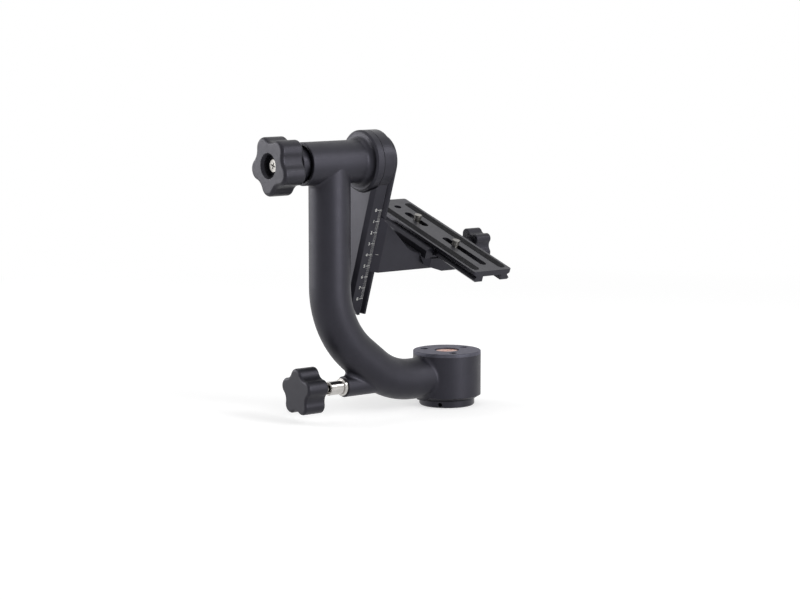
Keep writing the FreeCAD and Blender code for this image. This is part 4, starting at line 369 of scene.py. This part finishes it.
@dataclass(frozen=True)
class Bronze(TurnedMetal):
    """Plain turned bronze, dull and reddish, as a bearing nut has it."""

    name: str = "turned_bronze"
    dark: str = "#c4998b"
    light: str = "#dcb3a5"
    gloss: tuple[float, float] = (0.3, 0.42)
    blotch_mm: float = 3.0
    axis: Axis = Axis.Z


@dataclass(frozen=True)
class BallSteel(Finish):
    """Ground and lapped bearing steel, close to a mirror."""

    name: str = "ball_steel"
    dark: str = "#b4b5b8"
    light: str = "#c6c7ca"
    metallic: float = 1.0
    gloss: tuple[float, float] = (0.06, 0.12)
    blotch_mm: float = 2.0
    grain_mm: float = 0.2
    grain_depth_mm: float = 0.001
    edge_mm: float = 0.1


@dataclass(frozen=True)
class BrakeLining(Finish):
    """Pressed brake lining: dull brown-black with paler fibres and specks."""

    name: str = "brake_lining"
    dark: str = "#2a2622"
    light: str = "#4a4139"
    gloss: tuple[float, float] = (0.8, 0.9)
    blotch_mm: float = 0.8
    grain_mm: float = 0.4
    grain_depth_mm: float = 0.05


@dataclass(frozen=True)
class PrintedInk(Finish):
    """Screen-printed off-white ink, thin and slightly uneven."""

    name: str = "white_print"
    dark: str = "#b9b9b6"
    light: str = "#dededb"
    gloss: tuple[float, float] = (0.5, 0.6)
    blotch_mm: float = 1.5
    grain_mm: float = 0.2
    grain_depth_mm: float = 0.003
    edge_mm: float = 0.02


class Palette:
    """Every material of the head, each made once."""

    def __init__(self) -> None:
        """Build all the finishes."""
        self.coat = PowderCoat().build()
        self.anodised = AnodisedAluminium().build()
        self.knob = KnobRubber().build()
        self.steel = TurnedMetal().build()
        self.plain_steel = TurnedMetal(
            name="plain_steel", dark="#797774", light="#8f8d89", gloss=(0.3, 0.42),
            axis=Axis.Z).build()
        self.faced = FacedMetal().build()
        self.bronze = Bronze().build()
        self.balls = BallSteel().build()
        self.screws = BlackOxide().build()
        self.grip = GripRubber().build()
        self.lining = BrakeLining().build()
        self.ink = PrintedInk().build()


# ------------------------------------------------------------------ small mesh tools
@dataclass(frozen=True)
class SwingFrame:
    """The frame of the swing arm, on the tilt axis and turned by the rest tilt."""

    height: float = 211.0
    tilt_deg: float = 18.8

    def matrix(self) -> Matrix:
        """Matrix from the swing frame, in metres, to the row frame."""
        turn = Matrix.Rotation(math.radians(self.tilt_deg), 4, "X")
        return Matrix.Translation((0.0, 0.0, self.height * MM)) @ turn


SWING = SwingFrame()


def dress(nodes: Iterable[str], material: bpy.types.Material) -> None:
    """Give CAD nodes a finish in all their material slots.

    Args:
        nodes: names of the nodes.
        material: the finish.
    """
    for name in nodes:
        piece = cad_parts[name]
        if not piece.material_slots:
            piece.data.materials.append(material)
        for place in piece.material_slots:
            place.link = "OBJECT"
            place.material = material


def solid(name: str, build: Callable[[bmesh.types.BMesh], None], place: Matrix,
          material: bpy.types.Material, body: str) -> bpy.types.Object:
    """Make one mesh piece that rides on a body.

    Args:
        name: name of the piece.
        build: function that fills an empty bmesh in the piece's own frame, in metres.
        place: matrix from that frame to the row frame.
        material: the piece's finish.
        body: CAD body that carries it.

    Returns:
        The new object, with its place baked into the mesh.
    """
    mesh = bpy.data.meshes.new(name)
    work = bmesh.new()
    build(work)
    bmesh.ops.transform(work, matrix=place, verts=work.verts)
    bmesh.ops.recalc_face_normals(work, faces=work.faces)
    work.to_mesh(mesh)
    work.free()
    piece = bpy.data.objects.new(name, mesh)
    bpy.context.scene.collection.objects.link(piece)
    piece.data.materials.append(material)
    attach(piece, body)
    return piece


def bar(work: bmesh.types.BMesh, low: Sequence[float], high: Sequence[float]) -> None:
    """Add a box between two corners.

    Args:
        work: mesh that takes the box.
        low: lowest corner.
        high: highest corner.
    """
    middle = [(a + b) / 2 for a, b in zip(low, high)]
    spans = [b - a for a, b in zip(low, high)]
    place = Matrix.Translation(middle) @ Matrix.Diagonal((*spans, 1.0))
    bmesh.ops.create_cube(work, size=1.0, matrix=place)


# ------------------------------------------------------------------ sub-assemblies
@dataclass
class PanBase:
    """Base ring, spindle, nut and the bearings of the pan axis."""

    palette: Palette

    def build(self) -> None:
        """Dress the nodes of the base."""
        dress(["base_ring"], self.palette.anodised)
        dress(["thread_insert", "pan_spindle"], self.palette.plain_steel)
        dress(["pan_nut"], self.palette.bronze)
        dress(["base_screws", "base_grub_screws"], self.palette.screws)
        dress([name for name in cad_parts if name.endswith(("_race", "_balls"))],
              self.palette.balls)


@dataclass
class JArm:
    """The cast J arm, its cover and the pan lock's bushing."""

    palette: Palette

    def build(self) -> None:
        """Dress the arm and what is screwed to it."""
        dress(["arm_casting"], self.palette.coat)
        dress(["hub_cover"], self.palette.faced)
        dress(["hub_cover_screws"], self.palette.screws)
        dress(["tilt_friction_ring"], self.palette.lining)
        dress(["pan_lock_bushing"], self.palette.steel)


@dataclass
class StarKnobs:
    """The four star knobs, their screws and what they press."""

    palette: Palette

    def build(self) -> None:
        """Dress knobs, rods, studs, pad, collar and gib."""
        dress(["pan_lock_knob", "tilt_lock_knob", "platform_lock_knob", "clamp_knob"],
              self.palette.knob)
        dress(["pan_lock_rod", "platform_lock_screw", "clamp_screw", "tilt_lock_stud",
               "tilt_thrust_washer"], self.palette.steel)
        dress(["tilt_knob_screw"], self.palette.plain_steel)
        dress(["pan_brake_pad"], self.palette.bronze)
        dress(["tilt_lock_collar", "platform_gib"], self.palette.anodised)


@dataclass
class HeightScale:
    """Printed scale on the front edge of the swing arm."""

    palette: Palette
    first_mark: float = -35.6
    step: float = 10.0
    marks: int = 9
    lines_per_mark: int = 10
    face: float = -21.3
    inner: float = -76.7
    fine_length: float = 2.7
    coarse_length: float = 4.0
    line: float = 0.28
    fine_line: float = 0.09
    digit_height: float = 2.6
    # share of the type's size that a digit is high
    digit_share: float = 0.7
    digit_x: float = -82.4
    skin: float = 0.02

    def ticks(self, work: bmesh.types.BMesh) -> None:
        """Add the lines of the scale to a mesh in the swing frame."""
        fine = self.lines_per_mark * (self.marks - 1)
        for count in range(fine + 1):
            coarse = count % self.lines_per_mark == 0
            length = self.coarse_length if coarse else self.fine_length
            half = self.line / 2 if coarse else self.fine_line / 2
            middle = self.first_mark - count * self.step / self.lines_per_mark
            low = (self.inner - length, self.face - self.skin, middle - half)
            high = (self.inner, self.face, middle + half)
            bar(work, [v * MM for v in low], [v * MM for v in high])

    def digit(self, count: int) -> None:
        """Print one number beside its mark.

        Args:
            count: the number, which is also the place of its mark.
        """
        curve = bpy.data.curves.new(f"digit_{count}", "FONT")
        curve.body = str(count)
        curve.size = self.digit_height * MM / self.digit_share
        curve.align_x = "CENTER"
        curve.align_y = "CENTER"
        curve.extrude = self.skin * MM / 2
        text = bpy.data.objects.new(f"scale_digit_{count}", curve)
        bpy.context.scene.collection.objects.link(text)
        upright = Matrix.Rotation(math.radians(90), 4, "X")
        place = Matrix.Translation((self.digit_x * MM, (self.face - self.skin / 2) * MM,
                                    (self.first_mark - self.step * count) * MM))
        text.matrix_world = SWING.matrix() @ place @ upright
        curve.materials.append(self.palette.ink)
        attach(text, "swing")

    def build(self) -> None:
        """Print the lines and the numbers."""
        solid("scale_lines", self.ticks, SWING.matrix(), self.palette.ink, "swing")
        for count in range(self.marks):
            self.digit(count)


@dataclass
class SwingArm:
    """Swing arm with its shaft and end stop."""

    palette: Palette

    def build(self) -> None:
        """Dress the swing arm's nodes."""
        dress(["swing_arm"], self.palette.anodised)
        dress(["tilt_shaft"], self.palette.plain_steel)
        dress(["tilt_shaft_screws", "platform_stop_screw"], self.palette.screws)


@dataclass
class Platform:
    """Sliding bracket with its dovetail clamp and the index line on its bevel."""

    palette: Palette
    bevel_start: tuple[float, float, float] = (-75.7, -19.0, -75.9)
    bevel_turn_deg: float = -32.57
    index_from: float = 3.3
    index_to: float = 5.8
    index_half: float = 0.12
    skin: float = 0.02

    def index(self, work: bmesh.types.BMesh) -> None:
        """Add the index line to a mesh whose X runs along the bevel and whose -Y faces out."""
        low = (self.index_from, -self.skin, -self.index_half)
        high = (self.index_to, 0.0, self.index_half)
        bar(work, [v * MM for v in low], [v * MM for v in high])

    def build(self) -> None:
        """Dress the bracket and the clamp, and print the index line."""
        turn = Matrix.Rotation(math.radians(self.bevel_turn_deg), 4, "Z")
        place = SWING.matrix() @ Matrix.Translation(Vector(self.bevel_start) * MM) @ turn
        solid("platform_index", self.index, place, self.palette.ink, "platform")
        dress(["platform_bracket", "clamp_base", "clamp_jaw"], self.palette.anodised)
        dress(["clamp_bolts"], self.palette.screws)
        dress(["clamp_guide_pins"], self.palette.steel)


@dataclass
class CameraPlate:
    """Camera plate with ribbed strips and two camera screws."""

    palette: Palette
    top: float = -67.0
    inner: float = 10.4
    outer: float = 17.4
    front: float = -82.0
    back: float = 54.0
    proud: float = 0.3
    depth: float = 0.9
    # real ribs are near 1 mm apart; drawn at 2 mm so that they show at this size
    rib: float = 2.0
    rib_depth: float = 0.7
    # quarters of a rib's length that stand proud
    crest: tuple[int, int] = (1, 2)
    sunk: float = 0.05
    # square of half the strip's width at its very ends
    tip_square: float = 0.05

    def strip(self, work: bmesh.types.BMesh, side: int) -> None:
        """Add one ribbed strip with round ends.

        Args:
            work: mesh that takes the strip.
            side: -1 or 1.
        """
        half = (self.outer - self.inner) / 2
        centre = side * (self.outer + self.inner) / 2
        ribs = int((self.back - self.front) / self.rib)
        rows: list[tuple[float, float]] = []
        for count in range(ribs * 4 + 1):
            along = self.front + count * self.rib / 4
            lift = self.proud if count % 4 in self.crest else self.proud - self.rib_depth
            rows.append((along, lift))
        previous: list[bmesh.types.BMVert] = []
        foot = self.top - self.depth + self.sunk
        for along, lift in rows:
            inset = max(0.0, half - min(along - self.front, self.back - along))
            width = math.sqrt(max(half * half - inset * inset, self.tip_square))
            ring = [work.verts.new((x * MM, along * MM, z * MM)) for x, z in (
                (centre - width, foot), (centre - width, self.top + lift),
                (centre + width, self.top + lift), (centre + width, foot))]
            if previous:
                for i in range(4):
                    j = (i + 1) % 4
                    work.faces.new((previous[i], previous[j], ring[j], ring[i]))
            else:
                work.faces.new(ring)
            previous = ring
        work.faces.new(list(reversed(previous)))

    def both_strips(self, work: bmesh.types.BMesh) -> None:
        """Add the strips on both sides of the plate."""
        for side in (-1, 1):
            self.strip(work, side)

    def build(self) -> None:
        """Dress the plate, replace the strips by ribbed ones and dress the screws."""
        dress(["camera_plate"], self.palette.anodised)
        strips = solid("ribbed_strips", self.both_strips, SWING.matrix(), self.palette.grip,
                       "plate")
        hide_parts("plate_grip_strips")
        dress(["front_camera_screw", "back_camera_screw", "front_screw_washer",
               "back_screw_washer"], self.palette.plain_steel)


# ------------------------------------------------------------------ studio and camera
@dataclass
class Lamp:
    """One soft box."""

    name: str
    place: tuple[float, float, float]
    width: float
    height: float
    watts: float
    aim: tuple[float, float, float] = (-0.06, 0.0, 0.13)

    def build(self) -> None:
        """Hang the soft box and aim it."""
        light = bpy.data.lights.new(self.name, "AREA")
        light.shape = "RECTANGLE"
        light.size = self.width
        light.size_y = self.height
        light.energy = self.watts
        lamp = bpy.data.objects.new(self.name, light)
        lamp.location = self.place
        lamp.rotation_euler = (Vector(self.aim) - Vector(self.place)).to_track_quat(
            "-Z", "Y").to_euler()
        bpy.context.scene.collection.objects.link(lamp)


@dataclass
class Studio:
    """White sweep, soft boxes and a white surround."""

    floor_size: float = 12.0
    surround: float = 0.35
    paint: str = "#dadada"
    floor_glow: float = 0.47
    near: float = 0.35
    far: float = 1.0
    lamps: list[Lamp] = field(default_factory=lambda: [
        Lamp("front_box", (0.19, -1.22, 0.46), 0.45, 0.88, 13.8, (-0.06, 0.0, 0.46)),
        Lamp("left_box", (-0.99, 1.05, 0.50), 1.3, 0.96, 16.0, (-0.06, 0.0, 0.50)),
        Lamp("right_box", (0.82, -1.10, 1.10), 0.7, 0.5, 5.5),
        Lamp("top_box", (0.0, 0.1, 1.7), 1.4, 1.4, 4.4)])

    def floor(self) -> None:
        """Lay the white floor, which keeps the head's shadow and fades to plain white."""
        mesh = bpy.data.meshes.new("floor")
        half = self.floor_size
        mesh.from_pydata([(-half, -half, 0), (half, -half, 0), (half, half, 0), (-half, half, 0)],
                         [], [(0, 1, 2, 3)])
        floor = bpy.data.objects.new("floor", mesh)
        bpy.context.scene.collection.objects.link(floor)
        material = bpy.data.materials.new("white_floor")
        material.use_nodes = True
        tree = material.node_tree
        tree.nodes.clear()
        seen = self.seen(tree)
        paint = add_node(tree, "ShaderNodeBsdfDiffuse", {"Color": linear(self.paint)})
        lift = add_node(tree, "ShaderNodeMath", {0: seen, 1: self.floor_glow},
                        operation="MULTIPLY")
        glow = add_node(tree, "ShaderNodeEmission", {"Strength": lift.outputs[0]})
        lit = add_node(tree, "ShaderNodeAddShader", {0: paint.outputs[0], 1: glow.outputs[0]})
        place = add_node(tree, "ShaderNodeTexCoord").outputs["Object"]
        reach = add_node(tree, "ShaderNodeVectorMath", {0: place}, operation="LENGTH")
        away = between(tree, reach.outputs["Value"], 0.0, 1.0, self.near, self.far)
        fade = add_node(tree, "ShaderNodeMath", {0: seen, 1: away}, operation="MULTIPLY")
        white = add_node(tree, "ShaderNodeEmission", {"Strength": 1.0})
        both = add_node(tree, "ShaderNodeMixShader", {
            0: fade.outputs[0], 1: lit.outputs[0], 2: white.outputs[0]})
        add_node(tree, "ShaderNodeOutputMaterial", {"Surface": both.outputs[0]})
        mesh.materials.append(material)

    def seen(self, tree: bpy.types.NodeTree) -> bpy.types.NodeSocket:
        """One where a ray shows the surround: seen, mirrored or through glass."""
        path = add_node(tree, "ShaderNodeLightPath")
        first = add_node(tree, "ShaderNodeMath", {
            0: path.outputs["Is Camera Ray"], 1: path.outputs["Is Glossy Ray"]},
            operation="MAXIMUM")
        both = add_node(tree, "ShaderNodeMath", {
            0: first.outputs[0], 1: path.outputs["Is Transmission Ray"]}, operation="MAXIMUM")
        return both.outputs[0]

    def build(self) -> None:
        """Set floor, lamps and the white world."""
        self.floor()
        for lamp in self.lamps:
            lamp.build()
        world = bpy.data.worlds.new("white_room")
        bpy.context.scene.world = world
        world.use_nodes = True
        tree = world.node_tree
        tree.nodes.clear()
        strength = between(tree, self.seen(tree), self.surround, 1.0, 0.0, 1.0)
        glow = add_node(tree, "ShaderNodeBackground", {
            "Color": linear("#ffffff"), "Strength": strength})
        add_node(tree, "ShaderNodeOutputWorld", {"Surface": glow.outputs[0]})
        bpy.context.scene.view_settings.view_transform = "Standard"


@dataclass
class Viewpoint:
    """The camera, low in front of the head and to its left."""

    place: tuple[float, float, float] = (-1.24183, -1.5082, 0.35058)
    yaw_deg: float = 38.3
    pitch_deg: float = 7.63
    focal_px: float = 2328.42
    width_px: int = 800
    sensor_mm: float = 36.0

    def build(self) -> None:
        """Set the camera."""
        lens = bpy.data.cameras.new("camera")
        lens.sensor_fit = "HORIZONTAL"
        lens.sensor_width = self.sensor_mm
        lens.lens = self.focal_px * self.sensor_mm / self.width_px
        lens.clip_start = 0.01
        lens.clip_end = 100.0
        camera = bpy.data.objects.new("camera", lens)
        camera.location = self.place
        camera.rotation_euler = (math.radians(90 - self.pitch_deg), 0.0,
                                 math.radians(-self.yaw_deg))
        bpy.context.scene.collection.objects.link(camera)
        bpy.context.scene.camera = camera


def main() -> None:
    """Build the studio and every sub-assembly."""
    logging.basicConfig(level=logging.INFO, format="%(message)s")
    Viewpoint().build()
    Studio().build()
    palette = Palette()
    for maker in (PanBase, JArm, StarKnobs, SwingArm, HeightScale, Platform, CameraPlate):
        maker(palette).build()


if __name__ == "__main__":
    main()
